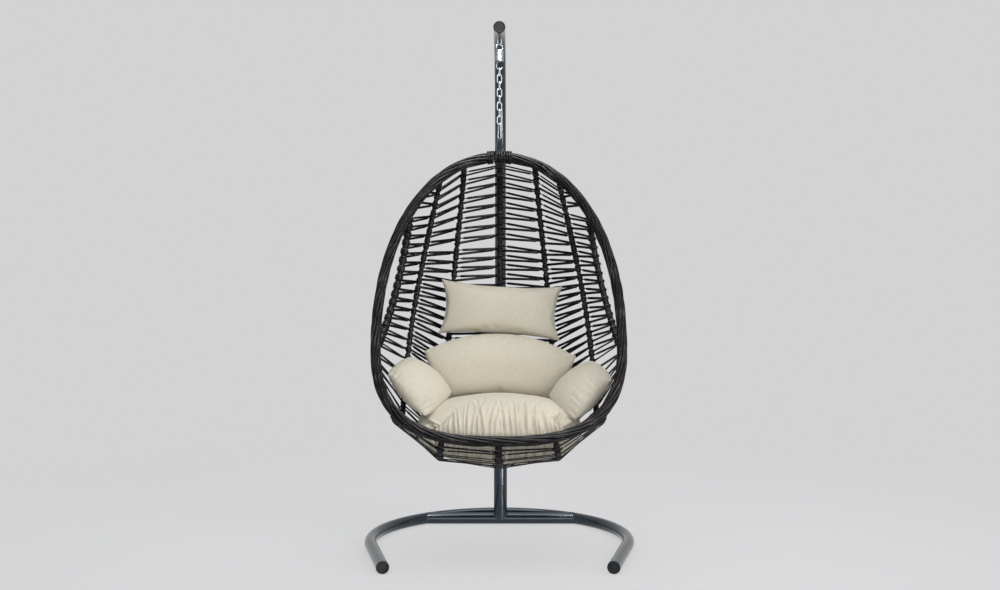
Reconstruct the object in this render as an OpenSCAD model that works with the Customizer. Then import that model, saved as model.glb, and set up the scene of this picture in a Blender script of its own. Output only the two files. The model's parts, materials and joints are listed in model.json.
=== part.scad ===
// Hanging egg chair: a woven basket with loose cushions that hangs by a spring
// and a chain from a bowed tube stand.
// Millimetres. +Z is up, +X is the sitter's left seen from the front, and the
// seat opens towards -Y. The origin is on the floor in the middle of the base.

/* [Base] */
// Outer diameter of the base bow's tube
base_tube_d = 45; // [38:1:50]
// Wall of the base tubes and the arm tube
tube_wall = 2; // [1.5:0.5:3]
// Radius of the base bow, to the tube's centre
bow_radius = 484; // [440:1:520]
// Angle that the bow covers on each side of its back
bow_half_angle = 103.5; // [96:0.5:108]
// Length of each straight leg of the bow
leg_length = 330; // [260:1:380]
// Outer diameter of the crossbar
crossbar_d = 44; // [36:1:45]
// Distance from the back of the bow to the crossbar
crossbar_inset = 110; // [90:1:140]
// Thickness of a plug's visible disc
plug_disc = 4; // [2:0.5:6]
// Length of a plug inside its tube
plug_stub = 22; // [15:1:40]

/* [Post and arm] */
// Outer diameter of the lower post
post_d = 54; // [51:1:60]
// Wall of the lower post
post_wall = 2.5; // [2:0.5:3]
// Height of the lower post's top
post_top_z = 700; // [600:1:800]
// Length of arm tube that stands in the lower post
post_overlap = 160; // [120:1:220]
// Outer diameter of the arm tube
arm_tube_d = 45; // [40:1:45]
// Height of the arm tube's centre over the basket
arm_z = 1945; // [1900:1:2000]
// Radius of the arm's bend, to the tube's centre
arm_bend_r = 380; // [330:1:395]
// Length of straight arm from its bend to the hang axis
arm_straight = 25; // [20:1:60]
// Length of arm tube past the hang axis
arm_nose = 28; // [24:1:60]
// Diameter of the bolts that lock the arm tube
lock_bolt_d = 8; // [6:1:10]
// Distance between the two lock bolts
lock_bolt_pitch = 60; // [40:1:80]

/* [Suspension] */
// Wire of the eye under the arm
eye_wire = 6; // [5:0.5:7]
// Distance between the eye's two legs, to their centres
eye_width = 24; // [20:1:30]
// Drop from the arm tube's underside to the centre of the eye's wire
eye_drop = 17.5; // [15:0.5:22]
// Wire of the top link and of the chain's links
link_wire = 5; // [4:0.5:5.5]
// Width of a link, to its wire's centre
link_width = 16; // [15:0.5:18]
// Length of the top link, to its wire's centre
top_link_length = 28; // [25:0.5:36]
// Wire of the spring
spring_wire = 4.5; // [4:0.25:5]
// Diameter of the spring's coils, to the wire's centre
spring_mean_d = 29.5; // [27:0.5:32]
// Coils between the spring's hooks
spring_coils = 8; // [6:1:10]
// Gap between two coils
spring_coil_gap = 0.5; // [0.45:0.05:0.8]
// Rise of the spring's top loop over its coils
spring_top_rise = 11; // [10:0.5:16]
// Drop of the spring's lower hook under its coils
spring_low_drop = 19; // [14:0.5:24]
// Radius of the spring's lower hook
spring_low_r = 11.5; // [10.5:0.5:13]
// Number of links in the chain, an even number
chain_links = 8; // [6:2:10]
// Step from one chain link to the next
chain_pitch = 26; // [24:0.5:30]
// Wire of the snap hook
snap_wire = 5; // [4:0.5:5.5]
// Length of the snap hook, to its wire's centre
snap_length = 62; // [56:1:72]
// Radius of the snap hook's narrow end
snap_top_r = 7.5; // [7:0.5:8]
// Radius of the snap hook's wide end
snap_low_r = 11.5; // [10.5:0.5:13]

/* [Basket frame] */
// Rod of the bail on top of the basket
bail_wire = 6; // [5:0.5:7]
// Width of the bail's top, to its rod's centre
bail_top_width = 16; // [15.5:0.5:18]
// Distance between the bail's feet, to their centres
bail_foot_width = 34; // [30:1:36]
// Height of the bail's top over the front hoop, between rod centres
bail_height = 71.5; // [56:0.5:80]
// Half the width of the front hoop, to its centre
hoop_half_width = 442; // [410:1:460]
// Height of the front hoop over its widest place
hoop_rise = 662; // [620:1:700]
// Depth of the front hoop under its widest place
hoop_fall = 357; // [330:1:380]
// Roundness of the hoop's upper half, 2 for an ellipse
hoop_upper_power = 2.1; // [2:0.05:2.4]
// Roundness of the hoop's lower half, 2 for an ellipse
hoop_lower_power = 2.8; // [2.2:0.1:3.2]
// Lean of the front hoop, its foot forward
hoop_lean = 17.2; // [12:0.1:20]
// Rod of the front hoop
hoop_rod = 12.5; // [10:0.5:14]
// Thickness of each strand laid round the front hoop
hoop_strand_d = 12.8; // [11:0.1:13.2]
// Strands laid round the front hoop
hoop_strands = 6; // [6:1:6]
// Turns that the strands make on their way round the hoop
hoop_strand_turns = 4; // [0:1:6]
// Diameter of a wrapped rib
rib_d = 22; // [16:1:24]
// Diameter of the wrapped side hoops
side_hoop_d = 25; // [18:1:28]
// Places on the front hoop where the ribs start, in degrees from its top
rib_top_angles = [0, 16.5, 29]; // [0:0.5:40]
// Places on the front hoop where the ribs end, in degrees from its top
rib_low_angles = [180, 161, 126]; // [120:0.5:180]
// Distance of each rib from the middle at its lowest place
rib_low_x = [0, 218, 366]; // [0:1:400]
// Depth of each rib's lowest place under the top of the front hoop
rib_low_drop = [1145, 1117, 985]; // [900:1:1200]
// Distance of each rib's lowest place in front of the hang axis
rib_low_front = [40, 40, 60]; // [0:5:100]
// Depth of the basket behind the hang axis, to the centre rib
back_depth = 262; // [230:1:275]
// Depth of the deepest place of the back under the top of the front hoop
back_drop = 562; // [500:1:620]
// Places on the front hoop where a side hoop starts and ends, in degrees
side_hoop_angles = [47.5, 93]; // [40:0.5:100]
// Distance of a side hoop behind the plane of the front hoop
side_hoop_bulge = 125; // [90:1:150]
// Angle that the basket tips back about its bail, where it hangs in balance
basket_tip = 1.5; // [0:0.1:3]

/* [Net] */
// Width of the flat wicker strand
strand_w = 6.6; // [5:0.1:8]
// Thickness of the flat wicker strand
strand_t = 4.4; // [3:0.1:5]
// Step of the zigzag along the ribs
zigzag_pitch = 46; // [40:1:60]
// Length of the strand's short turn on the outer of two ribs
short_turn = 9; // [8:0.5:12]
// Distance that a strand climbs on its way across a bay
leg_climb = 5.5; // [4:0.5:8]
// Loops of strand in the knot on top of the front hoop
knot_loops = 11; // [9:2:13]

/* [Cushions] */
// Width, depth and thickness of the seat cushion
seat_size = [600, 396, 252]; // [150:1:620]
// Width, height and thickness of the back cushion
back_size = [590, 290, 130]; // [80:1:620]
// Distance that the back cushion's top corners hang below its top
back_droop = 75; // [20:1:90]
// Distance that the back cushion's sides come forward round the sitter
back_wrap = 55; // [0:1:80]
// Width, height and thickness of the head pillow
head_size = [474, 218, 110]; // [80:1:500]
// Distance that the head pillow's sides come forward
head_wrap = 12; // [0:1:30]
// Length, height and thickness of an arm cushion
arm_size = [250, 215, 105]; // [80:1:320]

/* [Hidden] */
$fn = 64;

// Colours
graphite = "#3a3f47";
black = "#26282b";
zinc = "#c3c7ca";
wicker = "#2c2527";
canvas = "#d6cbb2";

// Clearances
fit_gap = 0.2; // between fixed pieces of the stand
rest_gap = 0.3; // between pieces that lie on each other
hang_gap = 0.5; // between rings that hang in each other
bore_gap = 0.2; // round a bolt or pin
leg_lap = 0.01; // of a leg into the bow's arc, so that the two are one tube

// --- Places in the stand ---
base_r = base_tube_d / 2;
leg_turn = bow_half_angle - 90;
leg_front = bow_radius + bow_radius * sin(leg_turn) + leg_length * cos(leg_turn)
    + plug_disc * cos(leg_turn) + base_r * sin(leg_turn);
// The bow's back is as far behind the origin as its feet are in front
bow_y = round(10 * (leg_front - base_r) / 2) / 10;
post_y = bow_y - crossbar_inset;
hang_reach = arm_bend_r + arm_straight;
hang_y = post_y - hang_reach;
arm_under_z = arm_z - arm_tube_d / 2;
arm_low_z = post_top_z - post_overlap;
lock_bolt_z = [post_top_z - post_overlap / 2 + lock_bolt_pitch / 2,
    post_top_z - post_overlap / 2 - lock_bolt_pitch / 2];

// --- Heights of the suspension, at wire centres ---
eye_z = arm_under_z - eye_drop;
top_link_high = eye_z + (eye_wire + link_wire) / 2 + hang_gap;
top_link_low = top_link_high - top_link_length;
spring_high = top_link_low + (link_wire + spring_wire) / 2 + hang_gap;
spring_r = spring_mean_d / 2;
coil_top_z = spring_high - spring_top_rise - spring_r;
coil_pitch = spring_wire + spring_coil_gap;
coil_low_z = coil_top_z - spring_coils * coil_pitch;
spring_low = coil_low_z - spring_low_drop - spring_low_r;
chain_link_length = chain_pitch + link_wire + rest_gap;
chain_high = spring_low + (spring_wire + link_wire) / 2 + hang_gap;
chain_low = chain_high - chain_link_length - (chain_links - 1) * chain_pitch;
snap_high = chain_low + (link_wire + snap_wire) / 2 + hang_gap;
snap_low = snap_high - snap_length;
bail_high = snap_low + (snap_wire + bail_wire) / 2 + hang_gap;

// --- Turn of each hanging piece about the vertical, from the XZ plane ---
top_link_turn = -30;
spring_top_turn = 40;
spring_low_turn = 10;
spring_loop_angle = 200; // that the top loop's arc covers
spring_hook_angle = 165; // that the lower hook's arc covers
snap_turn = -60;

// --- Places in the basket ---
hoop_top_z = bail_high - bail_height;
hoop_waist_z = hoop_top_z - hoop_rise;
hoop_strand_off = hoop_rod / 2 + 2 * rest_gap + hoop_strand_d / 2;
hoop_outer_r = hoop_strand_off + hoop_strand_d / 2 + rest_gap;
knot_sides = 12;
knot_r = (hoop_outer_r + 4 * rest_gap + strand_t / 2) / cos(180 / knot_sides);
rib_count = 3;
rib_step = 30; // spacing of the rings along a rib
bare_half = bail_foot_width / 2 + 9; // bare rod under the bail, each side

// ---------------------------------------------------------------- helpers

function unit(v) = v / norm(v);
function signed_pow(b, e) = sign(b) * pow(abs(b), e);
function mix(a, b, t) = a + (b - a) * t;
function mirrored(p) = [-p.x, p.y, p.z];

// Running length at each point of a path
function lengths(path) = [
    for (i = 0, d = 0; i < len(path);
        d = d + (i + 1 < len(path) ? norm(path[i + 1] - path[i]) : 0), i = i + 1) d
];

// Tables of x, y and z against running length, and the whole length
function tables(path) = let (d = lengths(path)) [
    for (axis = [0:2]) [for (i = [0:len(path) - 1]) [d[i], path[i][axis]]],
    d[len(path) - 1]
];
function along(t, d) = [lookup(d, t[0]), lookup(d, t[1]), lookup(d, t[2])];
function heading(t, d) = unit(along(t, min(d + 2, t[3])) - along(t, max(d - 2, 0)));
function even(path, count) = let (t = tables(path))
    [for (k = [0:count]) along(t, t[3] * k / count)];

// Direction of a path at a point, half way between the stretches that meet there
function path_dir(p, i, closed) = let (
        n = len(p),
        back = closed || i > 0 ? unit(p[i] - p[(i + n - 1) % n]) : unit(p[1] - p[0]),
        ahead = closed || i < n - 1 ? unit(p[(i + 1) % n] - p[i]) : back)
    unit(back + ahead);

// How much a ring is widened so that the stretches on both sides keep their width
function corner_stretch(p, i, closed) = let (n = len(p))
    (closed || (i > 0 && i < n - 1))
        ? 1 / max(0.5, unit(p[i] - p[(i + n - 1) % n]) * path_dir(p, i, closed)) : 1;

// One ring of a swept section: ref gives the direction of the section's height
function ring(p, i, ref, height, width, sides, closed) = let (
        dir = path_dir(p, i, closed),
        up = unit(ref - (ref * dir) * dir),
        side = cross(dir, up),
        wide = width * corner_stretch(p, i, closed))
    [for (k = [0:sides - 1]) let (a = 360 * (k + 0.5) / sides)
        p[i] + up * height * cos(a) + side * wide * sin(a)];

// Triangles of the walls between rings, and of the two ends
function wall_faces(rings, sides, closed) = [
    for (i = [0:(closed ? rings - 1 : rings - 2)]) for (k = [0:sides - 1]) let (
        a = i * sides + k,
        b = i * sides + (k + 1) % sides,
        c = ((i + 1) % rings) * sides + (k + 1) % sides,
        d = ((i + 1) % rings) * sides + k)
    each [[a, d, c], [a, c, b]]
];
function end_faces(rings, sides) = [
    for (k = [1:sides - 2]) each [
        [0, k, k + 1],
        let (e = (rings - 1) * sides) [e, e + k + 1, e + k]
    ]
];

// A tube or strand along a path; refs holds one direction or one for each point
module swept(path, refs, height, width, sides, closed = false) {
    n = len(path);
    single = len(refs) != n || refs[0][0] == undef;
    points = [for (i = [0:n - 1])
        each ring(path, i, single ? refs : refs[i], height, width, sides, closed)];
    faces = closed
        ? wall_faces(n, sides, true)
        : concat(wall_faces(n, sides, false), end_faces(n, sides));
    polyhedron(points, faces, convexity = 6);
}

// ------------------------------------------------------------------ stand

module tube_section(d, wall) {
    difference() {
        circle(d = d);
        circle(d = d - 2 * wall);
    }
}

module tube(d, wall, h) {
    linear_extrude(h) tube_section(d, wall);
}

// The solid outline of the bow, grown by a clearance, for the crossbar's cut
module bow_outline(grow) {
    translate([0, bow_y - bow_radius, base_r])
        rotate([0, 0, 90 - bow_half_angle])
            rotate_extrude(angle = 2 * bow_half_angle)
                translate([bow_radius, 0]) circle(r = base_r + grow);
}

// Puts its children at the end of the bow on one side, with +Z along the leg
module at_leg(side) {
    mirror([side < 0 ? 1 : 0, 0, 0])
        translate([0, bow_y - bow_radius, base_r])
            rotate([0, 0, -leg_turn])
                translate([bow_radius, 0, 0]) rotate([90, 0, 0]) children();
}

module base_bow() {
    color(graphite) {
        translate([0, bow_y - bow_radius, base_r])
            rotate([0, 0, 90 - bow_half_angle])
                rotate_extrude(angle = 2 * bow_half_angle)
                    translate([bow_radius, 0]) tube_section(base_tube_d, tube_wall);
        for (side = [-1, 1]) at_leg(side) translate([0, 0, -leg_lap])
            tube(base_tube_d, tube_wall, leg_length + leg_lap);
    }
}

// The crossbar's ends are cut to saddle the inside of the bow
module base_crossbar() {
    half = sqrt(pow(bow_radius, 2) - pow(bow_radius - crossbar_inset, 2));
    color(graphite)
        difference() {
            translate([-half, post_y, base_r]) rotate([0, 90, 0])
                tube(crossbar_d, tube_wall, 2 * half);
            bow_outline(fit_gap);
        }
}

// A plug: a disc with a rounded rim, and a ribbed stub that sits in the tube
module tube_plug(tube_d, wall) {
    r = tube_d / 2;
    stub_r = r - wall - fit_gap;
    edge = 1.5;
    rotate_extrude()
        polygon(concat(
            [[0, -plug_stub], [stub_r - 1, -plug_stub], [stub_r, -plug_stub + 1]],
            [for (k = [1:4]) each let (z = -plug_stub + k * plug_stub / 5)
                [[stub_r, z], [stub_r - 0.8, z + 1], [stub_r, z + 2]]],
            [[stub_r, 0], [r, 0]],
            [for (a = [0:30:90])
                [r - edge + edge * cos(a), plug_disc - edge + edge * sin(a)]],
            [[0, plug_disc]]));
}

module foot_plug(side) {
    color(black) at_leg(side) translate([0, 0, leg_length]) tube_plug(base_tube_d, tube_wall);
}
module foot_plug_left() foot_plug(-1);
module foot_plug_right() foot_plug(1);

module at_lock_bolts() {
    for (z = lock_bolt_z) translate([0, post_y, z]) rotate([0, 90, 0]) children();
}

module lock_bolt_holes() {
    reach = post_d;
    at_lock_bolts() translate([0, 0, -reach])
        cylinder(d = lock_bolt_d + 2 * bore_gap, h = 2 * reach);
}

// The lower post saddles the crossbar and is welded round it
module lower_post() {
    color(graphite)
        difference() {
            translate([0, post_y, base_r]) tube(post_d, post_wall, post_top_z - base_r);
            translate([-post_d, post_y, base_r]) rotate([0, 90, 0])
                cylinder(d = crossbar_d + 2 * fit_gap, h = 2 * post_d);
            lock_bolt_holes();
        }
}

// The plastic sleeve that centres the arm tube in the lower post, with its collar
module post_sleeve() {
    collar = 3;
    outer = post_d - 2 * post_wall - 2 * fit_gap;
    bore = arm_tube_d + 2 * fit_gap;
    color(black)
        difference() {
            union() {
                translate([0, post_y, arm_low_z]) cylinder(d = outer, h = post_overlap);
                translate([0, post_y, post_top_z]) cylinder(d = post_d, h = collar);
            }
            translate([0, post_y, arm_low_z - 1]) cylinder(d = bore, h = post_overlap + 5);
            lock_bolt_holes();
        }
}

module lock_bolts() {
    head_h = 5.3;
    head_af = lock_bolt_d * 1.625;
    color(zinc)
        at_lock_bolts() {
            translate([0, 0, -post_d / 2 - 8]) cylinder(d = lock_bolt_d, h = post_d + 8 + bore_gap);
            translate([0, 0, post_d / 2 + bore_gap])
                cylinder(d = head_af / cos(30), h = head_h, $fn = 6);
        }
}

module lock_nuts() {
    nut_h = 6.5;
    nut_af = lock_bolt_d * 1.625;
    color(zinc)
        at_lock_bolts() translate([0, 0, -post_d / 2 - nut_h - bore_gap])
            difference() {
                cylinder(d = nut_af / cos(30), h = nut_h, $fn = 6);
                translate([0, 0, -1]) cylinder(d = lock_bolt_d + 0.1, h = nut_h + 2);
            }
}

// A bar of the arm's shape, longer at both ends where it hollows the arm out
module arm_run(d, longer) {
    rise = arm_z - arm_bend_r - arm_low_z;
    level = hang_reach + arm_nose - arm_bend_r;
    translate([0, post_y, arm_low_z - longer]) cylinder(d = d, h = rise + longer);
    translate([0, post_y - arm_bend_r, arm_z - arm_bend_r])
        rotate([90, 0, 90]) rotate_extrude(angle = 90)
            translate([arm_bend_r, 0]) circle(d = d);
    translate([0, post_y - arm_bend_r, arm_z]) rotate([90, 0, 0])
        cylinder(d = d, h = level + longer);
}

module arm_tube() {
    color(graphite)
        difference() {
            arm_run(arm_tube_d, 0);
            arm_run(arm_tube_d - 2 * tube_wall, 1);
            lock_bolt_holes();
        }
}

module arm_end_plug() {
    color(black) translate([0, hang_y - arm_nose, arm_z]) rotate([90, 0, 0])
        tube_plug(arm_tube_d, tube_wall);
}

// The eye is a bent rod whose legs are welded to the arm tube's underside
module arm_eye() {
    r = eye_width / 2;
    color(graphite)
        difference() {
            translate([0, hang_y, eye_z + r]) {
                rotate([90, 180, 90]) rotate_extrude(angle = 180)
                    translate([r, 0]) circle(d = eye_wire);
                for (side = [-1, 1]) translate([0, side * r, 0])
                    cylinder(d = eye_wire, h = eye_drop);
            }
            translate([0, hang_y + eye_width, arm_z]) rotate([90, 0, 0])
                cylinder(d = arm_tube_d + fit_gap, h = 2 * eye_width);
        }
}

// ------------------------------------------------------------- suspension

// A closed oval link in the XZ plane, its middle at the origin
module oval_link(length, width, wire) {
    r = width / 2;
    straight = length - width;
    for (turn = [0, 180]) rotate([0, turn, 0]) {
        translate([0, 0, straight / 2]) rotate([90, 0, 0])
            rotate_extrude(angle = 180) translate([r, 0]) circle(d = wire);
        translate([r, 0, -straight / 2]) cylinder(d = wire, h = straight);
    }
}

module top_link() {
    color(zinc) translate([0, hang_y, (top_link_high + top_link_low) / 2])
        rotate([0, 0, top_link_turn]) oval_link(top_link_length, link_width, link_wire);
}

// A hook bent up from the last coil: a quarter bend, then an arc in the XZ plane.
// The coil arrives at [0, -coil_r, 0], heading along +X
function hook_points(coil_r, hook_r, rise, arc, steps) = concat(
    [for (k = [1:4]) let (a = 22.5 * k)
        [hook_r * sin(a), -coil_r * pow(cos(a), 2), rise * (1 - cos(a))]],
    [for (k = [1:steps]) let (a = arc * k / steps)
        [hook_r * cos(a), 0, rise + hook_r * sin(a)]]);

function turned(p, a) = [p.x * cos(a) - p.y * sin(a), p.x * sin(a) + p.y * cos(a), p.z];

// The spring's wire from its lower hook's tip to its top loop's tip
function spring_path() = let (
        coil_steps = 8,
        start = spring_low_turn - 90,
        wind = 360 * spring_coils + (spring_top_turn - spring_low_turn),
        steps = round(wind / 360 * coil_steps),
        low = hook_points(spring_r, spring_low_r, spring_low_drop, spring_hook_angle, 7),
        high = hook_points(spring_r, spring_r, spring_top_rise, spring_loop_angle, 8))
    concat(
        [for (k = [len(low) - 1:-1:0])
            turned([-low[k].x, low[k].y, coil_low_z - low[k].z], spring_low_turn)],
        [for (k = [0:steps]) let (a = start + wind * k / steps)
            [spring_r * cos(a), spring_r * sin(a), mix(coil_low_z, coil_top_z, k / steps)]],
        [for (p = high) turned([p.x, p.y, coil_top_z + p.z], spring_top_turn)]);

wire_path = [for (p = spring_path()) p + [0, hang_y, 0]];

module spring() {
    refs = [for (i = [0:len(wire_path) - 1]) let (d = path_dir(wire_path, i, false))
        abs(d.z) > 0.8 ? unit([wire_path[i].x, wire_path[i].y - hang_y, 0.01]) : [0, 0, 1]];
    color(zinc) swept(wire_path, refs, spring_wire / 2, spring_wire / 2, 6);
}

// The chain is in two lengths, so that it can twist at its middle
module chain_run(first, last) {
    color(zinc)
        for (k = [first:last])
            translate([0, hang_y, chain_high - chain_link_length / 2 - k * chain_pitch])
                rotate([0, 0, spring_low_turn + 90 * (k + 1)])
                    oval_link(chain_link_length, link_width, link_wire);
}
module chain_upper() chain_run(0, chain_links / 2 - 1);
module chain_lower() chain_run(chain_links / 2, chain_links - 1);

// --- Snap hook, in its own XZ plane with the wide end's centre at the origin ---
snap_span = snap_length - snap_top_r - snap_low_r;
snap_slope = asin((snap_low_r - snap_top_r) / snap_span);
snap_side = snap_span * cos(snap_slope);
snap_nose = 7; // straight stub over the wide end
snap_lug = 9; // straight lug under the narrow end
gate_pin_d = 2;
gate_tongue = 2; // thickness of the lug's flat tongue

module at_snap() {
    translate([0, hang_y, snap_low + snap_low_r]) rotate([0, 0, snap_turn]) children();
}

// Puts its children where the gate side leaves the wide end, with +Z up that side
module at_gate_side() {
    rotate([0, -snap_slope, 0]) translate([snap_low_r, 0, 0]) children();
}

module snap_hook() {
    color(zinc)
        at_snap() {
            rotate([90, 0, 0]) rotate([0, 0, 180 - snap_slope])
                rotate_extrude(angle = 180 + 2 * snap_slope)
                    translate([snap_low_r, 0]) circle(d = snap_wire);
            translate([0, 0, snap_span]) rotate([90, 0, 0]) rotate([0, 0, snap_slope])
                rotate_extrude(angle = 180 - 2 * snap_slope)
                    translate([snap_top_r, 0]) circle(d = snap_wire);
            rotate([0, snap_slope, 0]) translate([-snap_low_r, 0, 0]) {
                cylinder(d = snap_wire, h = snap_side);
                for (z = [0, snap_side]) translate([0, 0, z]) sphere(d = snap_wire + bore_gap / 2);
            }
            at_gate_side() {
                for (z = [0, snap_side]) translate([0, 0, z]) sphere(d = snap_wire + bore_gap / 2);
                cylinder(d = snap_wire, h = snap_nose);
                translate([0, 0, snap_side - snap_lug])
                    difference() {
                        cylinder(d = snap_wire, h = snap_lug);
                        for (side = [-1, 1])
                            translate([-snap_wire, side > 0 ? gate_tongue / 2 : -snap_wire - gate_tongue / 2, -1])
                                cube([2 * snap_wire, snap_wire, snap_lug - 1]);
                        translate([0, snap_wire, snap_lug / 3]) rotate([90, 0, 0])
                            cylinder(d = gate_pin_d + bore_gap, h = 2 * snap_wire);
                    }
            }
        }
}

// The gate's forked head straddles the lug's tongue
module snap_gate() {
    low = snap_nose + rest_gap;
    high = snap_side - snap_wire / 2 - 2 * rest_gap;
    fork = snap_lug - 1.5;
    color(zinc)
        at_snap() at_gate_side()
            difference() {
                translate([0, 0, low]) cylinder(d = snap_wire, h = high - low);
                translate([-snap_wire, -gate_tongue / 2 - bore_gap, high - fork])
                    cube([2 * snap_wire, gate_tongue + 2 * bore_gap, fork + 1]);
                translate([0, snap_wire, snap_side - snap_lug * 2 / 3]) rotate([90, 0, 0])
                    cylinder(d = gate_pin_d + bore_gap, h = 2 * snap_wire);
            }
}

module gate_pin() {
    color(zinc)
        at_snap() at_gate_side()
            translate([0, snap_wire / 2, snap_side - snap_lug * 2 / 3]) rotate([90, 0, 0])
                cylinder(d = gate_pin_d, h = snap_wire);
}

// ----------------------------------------------------------- basket frame

// Centre of the front hoop, at an angle from its top round to the right
function hoop_point(a) = let (
        high = cos(a) >= 0,
        power = 2 / (high ? hoop_upper_power : hoop_lower_power),
        z = hoop_waist_z + (high ? hoop_rise : hoop_fall) * signed_pow(cos(a), power))
    [hoop_half_width * signed_pow(sin(a), power), hoop_y(z), z];
function hoop_y(z) = hang_y - (hoop_top_z - z) * tan(hoop_lean);
hoop_normal = [0, cos(hoop_lean), -sin(hoop_lean)];

hoop_loop = [for (a = [0:3:357]) hoop_point(a)];
hoop_table = tables(concat(hoop_loop, [hoop_loop[0]]));
hoop_rings = 60;
function hoop_even(d) = along(hoop_table, d);
wrap_path = [for (k = [0:hoop_rings])
    hoop_even(mix(bare_half, hoop_table[3] - bare_half, k / hoop_rings))];

// Width of the front hoop at the height of the back's deepest place
back_z = hoop_top_z - back_drop;
back_half_width = hoop_half_width
    * pow(1 - pow((back_z - hoop_waist_z) / hoop_rise, hoop_upper_power), 1 / hoop_upper_power);
back_centre_y = hoop_y(back_z);

// A rib runs from the front hoop's top over the back, under the seat and up to
// the front hoop's foot, as three quarter ellipses in side view
function rib_x(i, z) = let (
        top = hoop_point(rib_top_angles[i]),
        low_z = hoop_top_z - rib_low_drop[i])
    mix(top.x, rib_low_x[i], sin(90 * (top.z - z) / (top.z - low_z)));
function rib_back_y(i) = let (x = rib_x(i, back_z))
    back_centre_y + (hang_y + back_depth - back_centre_y) * sqrt(1 - pow(x / back_half_width, 2));
function rib_course(i) = let (
        step = 7.5,
        top = hoop_point(rib_top_angles[i]),
        foot = hoop_point(rib_low_angles[i]),
        back_y = rib_back_y(i),
        low_y = hang_y - rib_low_front[i],
        low_z = hoop_top_z - rib_low_drop[i])
    concat(
        [for (a = [0:step:90]) let (z = mix(back_z, top.z, cos(a)))
            [rib_x(i, z), mix(top.y, back_y, sin(a)), z]],
        [for (a = [step:step:90]) let (z = mix(back_z, low_z, sin(a)))
            [rib_x(i, z), mix(low_y, back_y, cos(a)), z]],
        [for (a = [step:step:90])
            [mix(rib_low_x[i], foot.x, 1 - cos(a)), mix(low_y, foot.y, sin(a)),
                mix(low_z, foot.z, 1 - cos(a))]]);

// Least distance from the front hoop's centre line to a flat end of radius r,
// at d along a path that starts on the hoop, where the hoop's heading is axis
function end_reach(t, d, axis, r) = let (
        dir = heading(t, d),
        u = unit(cross(dir, axis)),
        v = cross(dir, u))
    min([for (a = [0:30:330]) let (q = along(t, d) + r * (u * cos(a) + v * sin(a)) - along(t, 0))
        norm(q - (q * axis) * axis)]);

// Where such an end has to stop to lie on the strands round the hoop
function end_cut(t, d, axis, r) =
    end_reach(t, d, axis, r) >= hoop_outer_r + 4 * rest_gap ? d : end_cut(t, d + 0.25, axis, r);
function hoop_axis(angle) = unit(hoop_point(angle + 0.5) - hoop_point(angle - 0.5));
function reversed(path) = [for (i = [len(path) - 1:-1:0]) path[i]];

// A path from the front hoop back to it, cut off where it meets the strands
function fitted(path, angles, r, extra = 0) = let (
        t = tables(path),
        d0 = end_cut(t, hoop_outer_r, hoop_axis(angles[0]), r) + extra,
        d1 = t[3] - end_cut(tables(reversed(path)), hoop_outer_r, hoop_axis(angles[1]), r),
        count = ceil((d1 - d0) / 6))
    [for (k = [0:count]) along(t, mix(d0, d1, k / count))];
rib_tables = [for (i = [0:rib_count - 1])
    tables(fitted(rib_course(i), [rib_top_angles[i], rib_low_angles[i]], rib_d / 2,
        i == 0 ? knot_r + strand_t / 2 + rest_gap - hoop_outer_r : 0))];
function rings_along(t) = let (count = ceil(t[3] / rib_step))
    [for (k = [0:count]) along(t, t[3] * k / count)];

module rib(i) {
    swept(rings_along(rib_tables[i]), [1, 0.01, 0.01], rib_d / 2, rib_d / 2, 6);
}
module rib_centre() color(wicker) in_basket() rib(0);
module rib_inner_right() color(wicker) in_basket() rib(1);
module rib_inner_left() color(wicker) in_basket() mirror([1, 0, 0]) rib(1);
module rib_outer_right() color(wicker) in_basket() rib(2);
module rib_outer_left() color(wicker) in_basket() mirror([1, 0, 0]) rib(2);

// A side hoop leaves the front hoop at the shoulder and joins it again at the arm,
// and bows out behind it between the two
function side_hoop_course() = let (
        top = hoop_point(side_hoop_angles[0]),
        foot = hoop_point(side_hoop_angles[1]))
    [for (k = [0:32]) let (f = (1 - cos(180 * k / 32)) / 2)
        mix(top, foot, f) + hoop_normal * side_hoop_bulge * pow(sin(180 * f), 0.65)];
side_hoop_table = tables(fitted(side_hoop_course(), side_hoop_angles, side_hoop_d / 2));

module side_hoop() {
    swept(rings_along(side_hoop_table), [1, 0.01, 0.01], side_hoop_d / 2, side_hoop_d / 2, 6);
}
module side_hoop_right() color(wicker) in_basket() side_hoop();
module side_hoop_left() color(wicker) in_basket() mirror([1, 0, 0]) side_hoop();

// The steel rod that carries everything in the basket
module front_hoop() {
    color(graphite) in_basket()
        swept(concat([hoop_even(0)], wrap_path), hoop_normal, hoop_rod / 2, hoop_rod / 2, 6, true);
}

// Strands laid round the rod, from one foot of the bail round to the other
module hoop_wrap() {
    out = [for (i = [0:hoop_rings]) unit(cross(path_dir(wrap_path, i, false), hoop_normal))];
    color(wicker) in_basket()
        for (j = [0:hoop_strands - 1]) {
            spoke = [for (i = [0:hoop_rings]) let (
                    a = 360 * j / hoop_strands - 360 * hoop_strand_turns * i / hoop_rings)
                out[i] * cos(a) + hoop_normal * sin(a)];
            strand = [for (i = [0:hoop_rings]) wrap_path[i] + spoke[i] * hoop_strand_off];
            swept(strand, spoke, hoop_strand_d / 2 / cos(30), hoop_strand_d / 2, 6);
        }
}

// The bail: a bent rod whose two feet are welded on the bare top of the front hoop
// Tips its children back about the bail, as the basket hangs
module in_basket() {
    translate([0, hang_y, bail_high]) rotate([basket_tip, 0, 0])
        translate([0, -hang_y, -bail_high]) children();
}

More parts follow.
